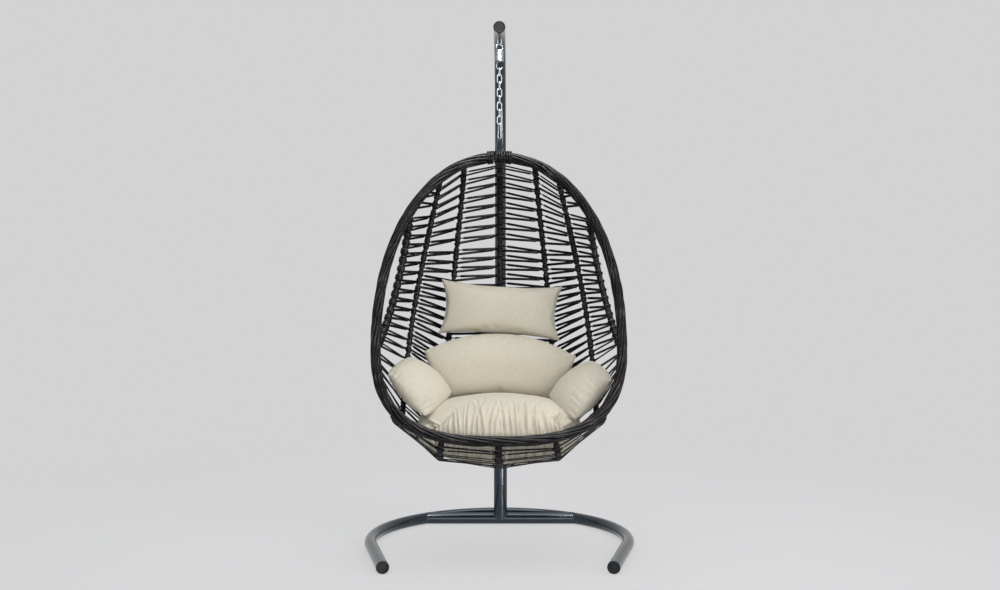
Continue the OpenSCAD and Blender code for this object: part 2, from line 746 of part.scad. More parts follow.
module bail() {
    r = bail_top_width / 2;
    foot_z = hoop_top_z + hoop_rod / 2 + rest_gap;
    shoulder_z = bail_high - r;
    spread = (bail_foot_width - bail_top_width) / 2;
    leg = norm([spread, shoulder_z - foot_z]);
    lean = atan(spread / (shoulder_z - foot_z));
    color(graphite) in_basket()
        translate([0, hang_y, 0])
            difference() {
                union() {
                    translate([0, 0, shoulder_z]) rotate([90, 0, 0])
                        rotate_extrude(angle = 180) translate([r, 0]) circle(d = bail_wire);
                    for (side = [-1, 1]) translate([side * r, 0, shoulder_z]) {
                        sphere(d = bail_wire + bore_gap / 2);
                        rotate([0, 180 - side * lean, 0]) cylinder(d = bail_wire, h = leg + bail_wire);
                    }
                }
                translate([-bail_foot_width, -bail_wire, foot_z - 2 * bail_wire])
                    cube([2 * bail_foot_width, 2 * bail_wire, 2 * bail_wire]);
            }
}

// The knot: one strand wound round the top of the hoop. It passes outside each
// foot of the bail in one long step
knot_pitch = strand_w + 0.6;
knot_step = bail_wire + 2.6;
knot_outer = floor((knot_loops - 3) / 2); // loops outside each foot of the bail
function knot_x(turns) = let (
        skip = max(0, min(1, turns - knot_outer + 1))
            + max(0, min(1, turns - (knot_loops - knot_outer - 1))))
    knot_pitch * (turns - (knot_loops - 1) / 2) + knot_step * (skip - 1);
function hoop_z(x) = hoop_waist_z
    + hoop_rise * pow(1 - pow(abs(x) / hoop_half_width, hoop_upper_power), 1 / hoop_upper_power);

knot_path = [for (k = [0:knot_sides * (knot_loops - 1)]) let (
        t = k / knot_sides,
        x = knot_x(t),
        z = hoop_z(x))
    [x, hoop_y(z) + knot_r * sin(360 * t), z + knot_r * cos(360 * t)]];

module top_knot() {
    refs = [for (k = [0:len(knot_path) - 1]) let (t = k / knot_sides)
        [0, sin(360 * t), cos(360 * t)]];
    color(wicker) in_basket() swept(knot_path, refs, strand_t / 2 / cos(30), strand_w / 2, 6);
}

// -------------------------------------------------------------------- net

rib_seats = [for (lift = [4, 3.2, 4]) rib_d / 2 + strand_t / 2 + lift * rest_gap];
side_hoop_seat = side_hoop_d / 2 + strand_t / 2 + 3 * rest_gap;
front_hoop_seat = hoop_outer_r + strand_w / 2 + rest_gap;
seat_angle = 17; // how far round a rib from its outer face a strand leaves it

// The outer edge of the net: front hoop, side hoop, then front hoop again
edge_shares = [0.12, 0.62];
shoulder_course = tables([for (k = [0:8])
    hoop_point(mix(rib_top_angles[2], side_hoop_angles[0], k / 8))]);
hip_course = tables([for (k = [0:12])
    hoop_point(mix(side_hoop_angles[1], rib_low_angles[2], k / 12))]);
function edge_part(g) = g < edge_shares[0] ? 0 : g < edge_shares[1] ? 1 : 2;
function edge_place(g) = let (part = edge_part(g))
    part == 0 ? [shoulder_course, g / edge_shares[0]]
    : part == 1 ? [side_hoop_table, (g - edge_shares[0]) / (edge_shares[1] - edge_shares[0])]
    : [hip_course, (g - edge_shares[1]) / (1 - edge_shares[1])];

// Centre and heading of a rail at a share g of its length; rail 3 is the edge
function rail(i, g) = i < 0 ? mirrored(rail(1, g))
    : i < rib_count ? along(rib_tables[i], g * rib_tables[i][3])
    : let (e = edge_place(g)) along(e[0], e[1] * e[0][3]);
function rail_heading(i, g) = i < rib_count ? heading(rib_tables[i], g * rib_tables[i][3])
    : let (e = edge_place(g)) heading(e[0], e[1] * e[0][3]);

// Outward direction of the basket's skin at a rail
function skin_out(i, g) = let (
        over = i < rib_count ? rail(i + 1, g) - rail(i - 1, g) : rail(i, g) - rail(i - 1, g))
    unit(cross(over, rail_heading(i, g)));

// How far a rail bows out between two points 15 mm either side of a share
function bow(i, g) = let (e = 15 / rib_tables[min(i, rib_count - 1)][3])
    max([for (near = [-e, 0, e]) let (c = max(e, min(1 - e, g + near)))
        norm(rail(i, c) - (rail(i, c - e) + rail(i, c + e)) / 2)]);

// Place of a strand's centre on a rail; side is 1 towards the basket's edge
function seat_point(i, g, side) = let (
        at = rail(i, g),
        dir = rail_heading(i, g),
        out = skin_out(i, g))
    i == rib_count && edge_part(g) != 1
        ? let (inward = rail(i - 1, g) - at) at + unit(inward - (inward * dir) * dir) * front_hoop_seat
        : at + ((i < rib_count ? rib_seats[i] : side_hoop_seat) + bow(i, g))
            * (out * cos(seat_angle) + cross(dir, out) * side * sin(seat_angle));

// One run of zigzag between rails i and i + 1, from share g0 to g1: two points for
// each crossing, [rail, share, side]
function zigzag_marks(i, g0, g1) = let (
        whole = rib_tables[i][3],
        count = max(1, floor((g1 - g0) * whole / zigzag_pitch)),
        step = (g1 - g0) / count,
        climb = leg_climb / whole,
        turn = short_turn / whole)
    [for (k = [0:count - 1]) let (g = g0 + k * step) each [
        [i, g, 1],
        [i + 1, g + climb, -1],
        [i + 1, g + climb + turn, -1],
        [i, g + 2 * climb + turn, 1]
    ]];

module net_run(i, g0, g1) {
    marks = zigzag_marks(i, g0, g1);
    path = [for (m = marks) seat_point(m[0], m[1], m[2])];
    refs = [for (m = marks) skin_out(m[0], m[1])];
    color(wicker) in_basket()
        swept(path, refs, strand_t / 2 * sqrt(2), strand_w / 2 * sqrt(2), 4);
}

// Shares of the ribs' length at which one run of strand ends and the next begins
inner_runs = [0.012, 0.25, 0.5, 0.75, 0.985];
outer_runs = [[0.015, 0.105], [0.15, 0.6], [0.65, 0.97]];
module bay_run(i, k) net_run(i, inner_runs[k - 1], inner_runs[k] - 0.004);
module edge_run(k) net_run(rib_count - 1, outer_runs[k - 1][0], outer_runs[k - 1][1]);
module left() mirror([1, 0, 0]) children();

module net_inner_right_1() bay_run(0, 1);
module net_inner_right_2() bay_run(0, 2);
module net_inner_right_3() bay_run(0, 3);
module net_inner_right_4() bay_run(0, 4);
module net_inner_left_1() left() bay_run(0, 1);
module net_inner_left_2() left() bay_run(0, 2);
module net_inner_left_3() left() bay_run(0, 3);
module net_inner_left_4() left() bay_run(0, 4);
module net_middle_right_1() bay_run(1, 1);
module net_middle_right_2() bay_run(1, 2);
module net_middle_right_3() bay_run(1, 3);
module net_middle_right_4() bay_run(1, 4);
module net_middle_left_1() left() bay_run(1, 1);
module net_middle_left_2() left() bay_run(1, 2);
module net_middle_left_3() left() bay_run(1, 3);
module net_middle_left_4() left() bay_run(1, 4);
module net_outer_right_1() edge_run(1);
module net_outer_right_2() edge_run(2);
module net_outer_right_3() edge_run(3);
module net_outer_left_1() left() edge_run(1);
module net_outer_left_2() left() edge_run(2);
module net_outer_left_3() left() edge_run(3);

// --------------------------------------------------------------- cushions

// Rings of a cushion, as shares of its outline from the seam to the middle
cushion_rings = [0.94, 0.82, 0.62, 0.34];
cushion_edge = 28; // points round the outline, a multiple of 4

// Outline of a cushion: a square with drawn-in sides, blended towards an oval
function outline_point(k, draw, oval) = let (
        q = 4 * k / cushion_edge,
        side = floor(q),
        f = 2 * (q - side) - 1,
        u = [1, -f, -1, f][side],
        v = [f, 1, -f, -1][side],
        pillow = [u * (1 - draw * (1 - v * v)), v * (1 - draw * (1 - u * u))],
        disc = [u * sqrt(1 - v * v / 2), v * sqrt(1 - u * u / 2)])
    mix(pillow, disc, oval);

// A stuffed cushion: size is width, height and thickness along X, Y and Z.
// droop lowers its two upper corners along Y, and wrap carries its ends forward along Z
module cushion(size, draw, oval, droop = 0, wrap = 0) {
    n = cushion_edge;
    rings = len(cushion_rings);
    shares = concat(
        [for (s = [rings - 1:-1:0]) [cushion_rings[s], -1]], [[1, 0]],
        [for (s = [0:rings - 1]) [cushion_rings[s], 1]]);
    function crown(share) = pow(1 - pow(share, 2.4), 0.62);
    function place(p) = [p.x * size.x / 2,
        p.y * size.y / 2 - droop * p.x * p.x * (1 + p.y) / 2,
        p.z * size.z / 2 + wrap * p.x * p.x];
    points = concat(
        [place([0, 0, -1])],
        [for (s = shares) for (k = [0:n - 1]) let (o = outline_point(k, draw, oval) * s[0])
            place([o.x, o.y, s[1] * crown(s[0])])],
        [place([0, 0, 1])]);
    last = len(points) - 1;
    faces = concat(
        [for (k = [0:n - 1]) [0, 1 + k, 1 + (k + 1) % n]],
        [for (f = wall_faces(len(shares), n, false)) [f[0] + 1, f[1] + 1, f[2] + 1]],
        [for (k = [0:n - 1]) [last, last - n + (k + 1) % n, last - n + k]]);
    polyhedron(points, faces, convexity = 4);
}

// Middle of each cushion, from the hang axis and down from the top of the hoop
seat_at = [0, -72, -1001.8];
back_at = [0, 126.7, -805.7];
head_at = [2, 172.5, -583.4];
arm_at = [309, -83, -851];

module at_cushion(at) {
    translate([at.x, hang_y + at.y, hoop_top_z + at.z]) children();
}

module seat_cushion() {
    color(canvas) in_basket() at_cushion(seat_at) rotate([4, 0, 0]) cushion(seat_size, 0.02, 0.75);
}

module back_cushion() {
    color(canvas) in_basket() at_cushion(back_at) rotate([94, 0, 0])
        cushion(back_size, 0.06, 0.1, back_droop, back_wrap);
}

module head_pillow() {
    color(canvas) in_basket() at_cushion(head_at) rotate([86, 3.5, 0])
        cushion(head_size, 0.05, 0, 0, head_wrap);
}

module arm_cushion(side) {
    mirror([side < 0 ? 1 : 0, 0, 0]) at_cushion(arm_at)
        rotate([0, 0, 8]) rotate([0, 135, 0]) rotate([0, 0, 90]) cushion(arm_size, 0.03, 0.5);
}
module arm_cushion_left() color(canvas) in_basket() arm_cushion(-1);
module arm_cushion_right() color(canvas) in_basket() arm_cushion(1);

// ------------------------------------------------------------ least gaps

// Least gap of a winding to itself, between points at least `apart` steps apart
function self_gap(path, apart, wide) = min([for (i = [0:len(path) - 1 - apart])
    min([for (j = [i + apart:len(path) - 1]) norm(path[i] - path[j])])]) - wide;
echo(spring_least_gap = self_gap(wire_path, 5, spring_wire));
echo(knot_least_gap = self_gap(knot_path, 7, strand_w));

// ------------------------------------------------------------------ nodes

base_bow();
base_crossbar();
foot_plug_left();
foot_plug_right();
lower_post();
post_sleeve();
lock_bolts();
lock_nuts();
arm_tube();
arm_end_plug();
arm_eye();
top_link();
spring();
chain_upper();
chain_lower();
snap_hook();
snap_gate();
gate_pin();
bail();
front_hoop();
hoop_wrap();
top_knot();
side_hoop_left();
side_hoop_right();
rib_centre();
rib_inner_left();
rib_inner_right();
rib_outer_left();
rib_outer_right();
net_inner_left_1();
net_inner_left_2();
net_inner_left_3();
net_inner_left_4();
net_inner_right_1();
net_inner_right_2();
net_inner_right_3();
net_inner_right_4();
net_middle_left_1();
net_middle_left_2();
net_middle_left_3();
net_middle_left_4();
net_middle_right_1();
net_middle_right_2();
net_middle_right_3();
net_middle_right_4();
net_outer_left_1();
net_outer_left_2();
net_outer_left_3();
net_outer_right_1();
net_outer_right_2();
net_outer_right_3();
seat_cushion();
back_cushion();
head_pillow();
arm_cushion_left();
arm_cushion_right();
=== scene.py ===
"""Looks of a hanging egg chair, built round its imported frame.

Everything is placed in the frame's own axes. Sizes are typed in millimetres,
as a chair maker would give them, and turned to metres when a mesh is made.
"""

import json  # noqa: E402
import logging  # noqa: E402
import math  # noqa: E402
import random  # noqa: E402
from collections.abc import Iterator  # noqa: E402
from dataclasses import dataclass, field  # noqa: E402
from enum import Enum  # noqa: E402

import bmesh  # noqa: E402
import bpy  # noqa: E402
import numpy as np  # noqa: E402
from mathutils import Matrix, Vector  # noqa: E402

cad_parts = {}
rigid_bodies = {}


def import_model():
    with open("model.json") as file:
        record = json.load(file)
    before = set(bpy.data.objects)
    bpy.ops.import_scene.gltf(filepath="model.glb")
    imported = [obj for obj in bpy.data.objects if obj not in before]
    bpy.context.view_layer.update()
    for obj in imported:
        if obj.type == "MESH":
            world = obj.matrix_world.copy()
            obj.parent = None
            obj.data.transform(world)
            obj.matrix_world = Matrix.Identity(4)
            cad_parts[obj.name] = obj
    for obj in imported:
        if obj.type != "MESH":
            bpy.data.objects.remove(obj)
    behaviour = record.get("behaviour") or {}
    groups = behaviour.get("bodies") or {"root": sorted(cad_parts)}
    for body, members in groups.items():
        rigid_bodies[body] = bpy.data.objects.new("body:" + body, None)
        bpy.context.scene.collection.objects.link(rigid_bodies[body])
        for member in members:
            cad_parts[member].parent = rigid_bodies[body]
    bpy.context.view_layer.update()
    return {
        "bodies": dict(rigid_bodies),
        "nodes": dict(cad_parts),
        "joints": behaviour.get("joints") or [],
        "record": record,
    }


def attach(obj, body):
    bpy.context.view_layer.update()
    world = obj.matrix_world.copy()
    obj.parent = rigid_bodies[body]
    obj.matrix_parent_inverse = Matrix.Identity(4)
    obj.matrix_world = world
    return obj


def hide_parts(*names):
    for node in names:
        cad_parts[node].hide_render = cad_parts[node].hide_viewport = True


log = logging.getLogger("egg_chair")

MM = 0.001
HANG_Y = -62.7  # of the eye, the chain and the hoop's top
TOP_Z = 1461.95  # of the front hoop's centre line
TUBE_R = 22.5  # of the bow and the arm
FLIP = np.array([-1.0, 1.0, 1.0])  # to the other side of the chair
ROD_STEP = 12  # between the points of a rod's middle line
UP = (0, 0, 1)

NOISE, BUMP, MATHS = "ShaderNodeTexNoise", "ShaderNodeBump", "ShaderNodeMath"
MIX, MAP_RANGE, MAPPING = "ShaderNodeMix", "ShaderNodeMapRange", "ShaderNodeMapping"
RAMP, COMBINE = "ShaderNodeValToRGB", "ShaderNodeCombineXYZ"
BACKGROUND, MIX_SHADER = "ShaderNodeBackground", "ShaderNodeMixShader"
LENGTH, WHOLE = "NodeSocketFloat", "NodeSocketInt"

# ---------------------------------------------------------------- helpers


def unit(v: np.ndarray) -> np.ndarray:
    """Returns v with a length of one."""
    v = np.asarray(v, float)
    return v / max(float(np.linalg.norm(v)), 1e-12)


def mix(a: float, b: float, t: float) -> float:
    """Returns the value a share t of the way from a to b."""
    return a + (b - a) * t


def circle(count: int) -> list[float]:
    """Returns the angles of points spread evenly round a circle."""
    return [math.tau * k / count for k in range(count)]


def colour(code: str) -> tuple[float, float, float, float]:
    """Turns an sRGB hex code into a linear colour.

    Args:
        code: Six hex digits, such as "d6cdb6".

    Returns:
        Red, green, blue and an alpha of one.
    """
    parts = [int(code[i : i + 2], 16) / 255 for i in (0, 2, 4)]
    linear = [c / 12.92 if c <= 0.04045 else ((c + 0.055) / 1.055) ** 2.4 for c in parts]
    return (linear[0], linear[1], linear[2], 1.0)


def feed(node: bpy.types.Node, sockets: dict) -> None:
    """Sets or links a node's inputs.

    Args:
        node: The node.
        sockets: Input name or index to a value, to the output that feeds it, or
            to a node whose first output does.
    """
    for key, value in sockets.items():
        if isinstance(value, bpy.types.Node):
            value = value.outputs[0]
        if isinstance(value, bpy.types.NodeSocket):
            node.id_data.links.new(value, node.inputs[key])
        else:
            node.inputs[key].default_value = value


def add_node(
    tree: bpy.types.NodeTree, kind: str, sockets: dict | None = None, **settings: object
) -> bpy.types.Node:
    """Adds one node with its settings and links.

    Args:
        tree: The tree that gets the node.
        kind: The node's type name.
        sockets: Its inputs, as feed takes them.
        settings: The node's own properties.

    Returns:
        The new node.
    """
    made = tree.nodes.new(kind)
    for key, value in settings.items():
        setattr(made, key, value)
    feed(made, sockets or {})
    return made


def new_object(name: str, data: bpy.types.ID) -> bpy.types.Object:
    """Returns a new object in the scene."""
    made = bpy.data.objects.new(name, data)
    bpy.context.scene.collection.objects.link(made)
    return made


def evaluated(piece: bpy.types.Object) -> bpy.types.Object:
    """Returns an object as its modifiers leave it."""
    return piece.evaluated_get(bpy.context.evaluated_depsgraph_get())


class Turn(Enum):
    """Which side of the chair a piece is on, seen from the front."""

    LEFT = -1
    RIGHT = 1


class Course:
    """A line through points, read at running lengths along it."""

    def __init__(self, points: np.ndarray) -> None:
        """Keeps the points and their running lengths."""
        self.points = np.asarray(points, float)
        steps = np.linalg.norm(np.diff(self.points, axis=0), axis=1)
        self.runs = np.concatenate([[0.0], np.cumsum(steps)])

    @property
    def length(self) -> float:
        """The whole length of the line."""
        return float(self.runs[-1])

    def at(self, d: float) -> np.ndarray:
        """Returns the point at the running length d."""
        return np.array([np.interp(d, self.runs, self.points[:, k]) for k in range(3)])

    def heading(self, d: float) -> np.ndarray:
        """Returns the line's direction at the running length d."""
        return unit(self.at(min(d + 2, self.length)) - self.at(max(d - 2, 0)))

    def cut(self, start: float, end: float, step: float) -> "Course":
        """Returns the stretch from start to end, with points about step apart."""
        count = math.ceil((end - start) / step)
        return Course([self.at(mix(start, end, k / count)) for k in range(count + 1)])

    def carried(self, count: int) -> Iterator[tuple[np.ndarray, np.ndarray, np.ndarray]]:
        """Yields even steps along the line, with a sideways direction that never spins.

        Args:
            count: How many steps.

        Yields:
            The point, the line's direction and the sideways direction.
        """
        side = unit(np.cross(self.heading(0), (0.3, 1.0, 0.2)))
        for k in range(count + 1):
            d = self.length * k / count
            way = self.heading(d)
            side = unit(side - (side @ way) * way)
            yield self.at(d), way, side


@dataclass
class Lines:
    """Open or closed lines with the way that a flat strand lies on them."""

    points: list = field(default_factory=list)
    lies: list = field(default_factory=list)
    edges: list = field(default_factory=list)

    def add(self, points: list, lies: list, closed: bool = False) -> "Lines":
        """Adds one line.

        Args:
            points: Its points in millimetres.
            lies: The outward direction of the strand's flat side at each point.
            closed: Whether the last point joins the first.

        Returns:
            This set.
        """
        first = len(self.points)
        self.points += [np.asarray(p, float) for p in points]
        self.lies += [np.asarray(v, float) for v in lies]
        self.edges += [(first + k, first + k + 1) for k in range(len(points) - 1)]
        if closed:
            self.edges.append((first + len(points) - 1, first))
        return self

    def mirrored(self) -> "Lines":
        """Returns the same lines on the other side of the chair."""
        points, lies = ([p * FLIP for p in part] for part in (self.points, self.lies))
        return Lines(points, lies, list(self.edges))


def rod_lines(course: Course) -> Lines:
    """Returns the middle line of a rod laid along a course."""
    steps = list(course.carried(int(course.length / ROD_STEP)))
    return Lines().add([at for at, _, _ in steps], [side for _, _, side in steps])


def wound(course: Course, r: float, pitch: float, steps: int = 10) -> Lines:
    """Winds a strand round a line.

    Args:
        course: The line, in millimetres.
        r: Radius of the winding.
        pitch: Distance from turn to turn.
        steps: Points in a turn.

    Returns:
        The winding.
    """
    points, lies = [], []
    count = int(course.length / pitch * steps)
    for k, (at, way, side) in enumerate(course.carried(count)):
        a = math.tau * k / steps
        spoke = side * math.cos(a) + np.cross(way, side) * math.sin(a)
        points.append(at + spoke * r)
        lies.append(spoke)
    return Lines().add(points, lies)


@dataclass(frozen=True)
class Tip:
    """The small turn about the bail at which the basket hangs in balance."""

    degrees: float = 1.5
    pivot_y: float = HANG_Y
    pivot_z: float = 1533.45

    def matrix(self) -> Matrix:
        """Returns the turn as a matrix, in millimetres."""
        pivot = Vector((0, self.pivot_y, self.pivot_z))
        turn = Matrix.Rotation(math.radians(self.degrees), 4, "X")
        return Matrix.Translation(pivot) @ turn @ Matrix.Translation(-pivot)


BASKET_TIP = Tip()
STILL = Tip(degrees=0.0)


# --------------------------------------------------------------- finishes


def start_material(name: str) -> tuple[bpy.types.Material, bpy.types.Node, bpy.types.NodeSocket]:
    """Makes an empty material.

    Args:
        name: The material's name.

    Returns:
        The material, its shader, and the output with the object's own axes.
    """
    material = bpy.data.materials.new(name)
    material.use_nodes = True
    tree = material.node_tree
    tree.nodes.clear()
    shader = add_node(tree, "ShaderNodeBsdfPrincipled")
    add_node(tree, "ShaderNodeOutputMaterial", {"Surface": shader})
    return material, shader, add_node(tree, "ShaderNodeTexCoord").outputs["Object"]


@dataclass(frozen=True)
class Finish:
    """A real surface, named for its material and for how it was made."""

    name: str = ""

    def surface(self, tree: bpy.types.NodeTree, place: bpy.types.NodeSocket) -> dict:
        """Draws the surface.

        Args:
            tree: The material's tree.
            place: The output with the object's own axes.

        Returns:
            The shader's inputs, as feed takes them.
        """
        raise NotImplementedError

    def build(self) -> bpy.types.Material:
        """Returns the material."""
        material, shader, place = start_material(self.name)
        feed(shader, self.surface(material.node_tree, place))
        return material


@dataclass(frozen=True)
class PowderCoat(Finish):
    """Powder coat on steel tube, baked to a glossy graphite grey.

    The baked powder leaves a fine orange peel, which breaks up the long
    reflections, and its metal flake lifts the grey a little towards blue.
    """

    name: str = "graphite_powder_coat"
    dark: str = "2d343a"
    light: str = "3c454c"
    peel_mm: float = 2.6
    mottle_mm: float = 60.0

    def surface(self, tree: bpy.types.NodeTree, place: bpy.types.NodeSocket) -> dict:
        """Draws a mottled grey under a fine peel."""
        mottle = add_node(
            tree, NOISE, {"Vector": place, "Scale": 1000 / self.mottle_mm, "Detail": 3.0}
        )
        tint = add_node(
            tree, MIX, {0: mottle, 6: colour(self.dark), 7: colour(self.light)}, data_type="RGBA"
        )
        gloss = add_node(tree, MAP_RANGE, {"Value": mottle, "To Min": 0.13, "To Max": 0.22})
        peel = add_node(
            tree, NOISE, {"Vector": place, "Scale": 1000 / self.peel_mm, "Detail": 1.0}
        )
        return {
            "Base Color": tint.outputs[2],
            "Roughness": gloss,
            "Normal": add_node(
                tree, BUMP, {"Height": peel, "Strength": 0.06, "Distance": 0.0004}
            ),
            "Metallic": 0.65,
            "Specular IOR Level": 0.3,
            "Coat Weight": 0.2,
            "Coat Roughness": 0.12,
        }


@dataclass(frozen=True)
class MouldedPlastic(Finish):
    """Injection-moulded polyethylene, for plugs and the post's sleeve.

    The spark-eroded mould leaves a fine matte grain.
    """

    name: str = "moulded_black_polyethylene"
    dark: str = "0d0e10"
    light: str = "1b1d20"
    grain_mm: float = 1.4

    def surface(self, tree: bpy.types.NodeTree, place: bpy.types.NodeSocket) -> dict:
        """Draws an almost even black with the mould's grain."""
        grain = add_node(
            tree, NOISE, {"Vector": place, "Scale": 1000 / self.grain_mm, "Detail": 2.0}
        )
        tint = add_node(
            tree, MIX, {0: grain, 6: colour(self.dark), 7: colour(self.light)}, data_type="RGBA"
        )
        return {
            "Base Color": tint.outputs[2],
            "Normal": add_node(
                tree, BUMP, {"Height": grain, "Strength": 0.25, "Distance": 0.0004}
            ),
            "Roughness": 0.55,
            "Specular IOR Level": 0.2,
        }


@dataclass(frozen=True)
class ZincPlate(Finish):
    """Bright zinc plate on bent and welded wire.

    Barrel plating leaves soft scratches and patches of a duller grey. The
    colours are darker than zinc's, because the gloss lamps brighten it.
    """

    name: str = "bright_zinc_plate"
    dull: str = "7d8388"
    bright: str = "a8adb1"
    patch_mm: float = 9.0

    def surface(self, tree: bpy.types.NodeTree, place: bpy.types.NodeSocket) -> dict:
        """Draws patches that are duller where they are rougher."""
        patch = add_node(
            tree, NOISE, {"Vector": place, "Scale": 1000 / self.patch_mm, "Detail": 4.0}
        )
        tint = add_node(
            tree, MIX, {0: patch, 6: colour(self.dull), 7: colour(self.bright)}, data_type="RGBA"
        )
        gloss = add_node(tree, MAP_RANGE, {"Value": patch, "To Min": 0.5, "To Max": 0.34})
        return {"Base Color": tint.outputs[2], "Roughness": gloss, "Metallic": 1.0}


@dataclass(frozen=True)
class WickerStrand(Finish):
    """Extruded polyethylene strand, coloured through, with a satin skin.

    The die draws fine ribs along the strand, as a bump. Their tops carry a
    painted highlight, a purple-brown streak in the colour, on an almost black ground.
    """

    name: str = "extruded_wicker_strand"
    ground: str = "050304"
    # Colour of the painted highlight along the ribs' tops.
    painted_glint: str = "8d8389"
    rib_count: float = 4.5

    def surface(self, tree: bpy.types.NodeTree, place: bpy.types.NodeSocket) -> dict:
        """Draws ribs that run with the strand, by its own grain, with a painted highlight along
        their tops.
        """
        grain = add_node(
            tree, "ShaderNodeAttribute", attribute_name="grain", attribute_type="GEOMETRY"
        )
        across = self.rib_count
        stretch = add_node(
            tree, MAPPING, {"Vector": grain.outputs["Vector"], "Scale": (18.0, across, across)}
        )
        ribs = add_node(tree, NOISE, {"Vector": stretch, "Scale": 1.0, "Detail": 3.0})
        ramp = add_node(tree, RAMP, {"Fac": ribs})
        # The second stop paints a highlight along the ribs' tops.
        stops = ((0.6, self.ground), (0.72, self.painted_glint))
        for stop, (share, code) in zip(ramp.color_ramp.elements, stops):
            stop.position, stop.color = share, colour(code)
        return {
            "Base Color": ramp,
            "Normal": add_node(tree, BUMP, {"Height": ribs, "Strength": 0.35, "Distance": 0.0006}),
            "Roughness": 0.4,
            "Specular IOR Level": 0.12,
        }


@dataclass(frozen=True)
class Canvas(Finish):
    """Spun polyester canvas in a plain weave, in undyed cream.

    Real threads are about 0.5 mm apart, which is too fine to show, so they
    are drawn coarser. Slubs, the thick places in a spun thread, run both ways.
    """

    name: str = "cream_plain_weave_canvas"
    shade: str = "c2baa6"
    light: str = "d8d1bf"
    thread_mm: float = 1.0
    slub_mm: float = 11.0

    def surface(self, tree: bpy.types.NodeTree, place: bpy.types.NodeSocket) -> dict:
        """Draws crossing threads and slubs on the cloth's own plane."""
        cloth = add_node(tree, "ShaderNodeUVMap", uv_map="cloth")
        waves = {
            "Vector": cloth,
            "Scale": 1000 / self.thread_mm / 20,
            "Distortion": 0.8,
            "Detail": 1.0,
        }
        warp, weft = (
            add_node(
                tree, "ShaderNodeTexWave", waves, wave_type="BANDS", bands_direction=axis
            ).outputs["Fac"]
            for axis in ("X", "Y")
        )
        weave = add_node(tree, MATHS, {0: warp, 1: weft}, operation="MULTIPLY")
        slubs = []
        for scale in ((1.0, 0.12, 1.0), (0.12, 1.0, 1.0)):
            drawn = add_node(tree, MAPPING, {"Vector": cloth, "Scale": scale})
            noise = {"Vector": drawn, "Scale": 4000 / self.slub_mm, "Detail": 2.0}
            slubs.append(add_node(tree, NOISE, noise))
        slub = add_node(tree, MATHS, {0: slubs[0], 1: slubs[1]}, operation="MULTIPLY")
        tone = add_node(tree, MATHS, {0: weave, 1: 0.22, 2: slub}, operation="MULTIPLY_ADD")
        ramp = add_node(tree, RAMP, {"Fac": tone})
        stops = ((0.05, self.shade), (0.6, self.light))
        for stop, (share, code) in zip(ramp.color_ramp.elements, stops):
            stop.position, stop.color = share, colour(code)
        return {
            "Base Color": ramp,
            "Normal": add_node(tree, BUMP, {"Height": tone, "Strength": 0.3, "Distance": 0.0005}),
            "Roughness": 0.92,
            "Sheen Weight": 0.15,
            "IOR": 1.45,
        }


class Finishes:
    """The chair's finishes, each made once, with the record's slot for each."""

    def __init__(self) -> None:
        """Builds the materials."""
        self.graphite = PowderCoat().build()
        self.black = MouldedPlastic().build()
        self.zinc = ZincPlate().build()
        self.wicker = WickerStrand().build()
        self.canvas = Canvas().build()
        self.slots = {
            self.graphite.name: "graphite_paint",
            self.black.name: "black_plastic",
            self.zinc.name: "zinc_plate",
            self.wicker.name: "wicker",
            self.canvas.name: "canvas",
        }


# ------------------------------------------------------------ mesh makers


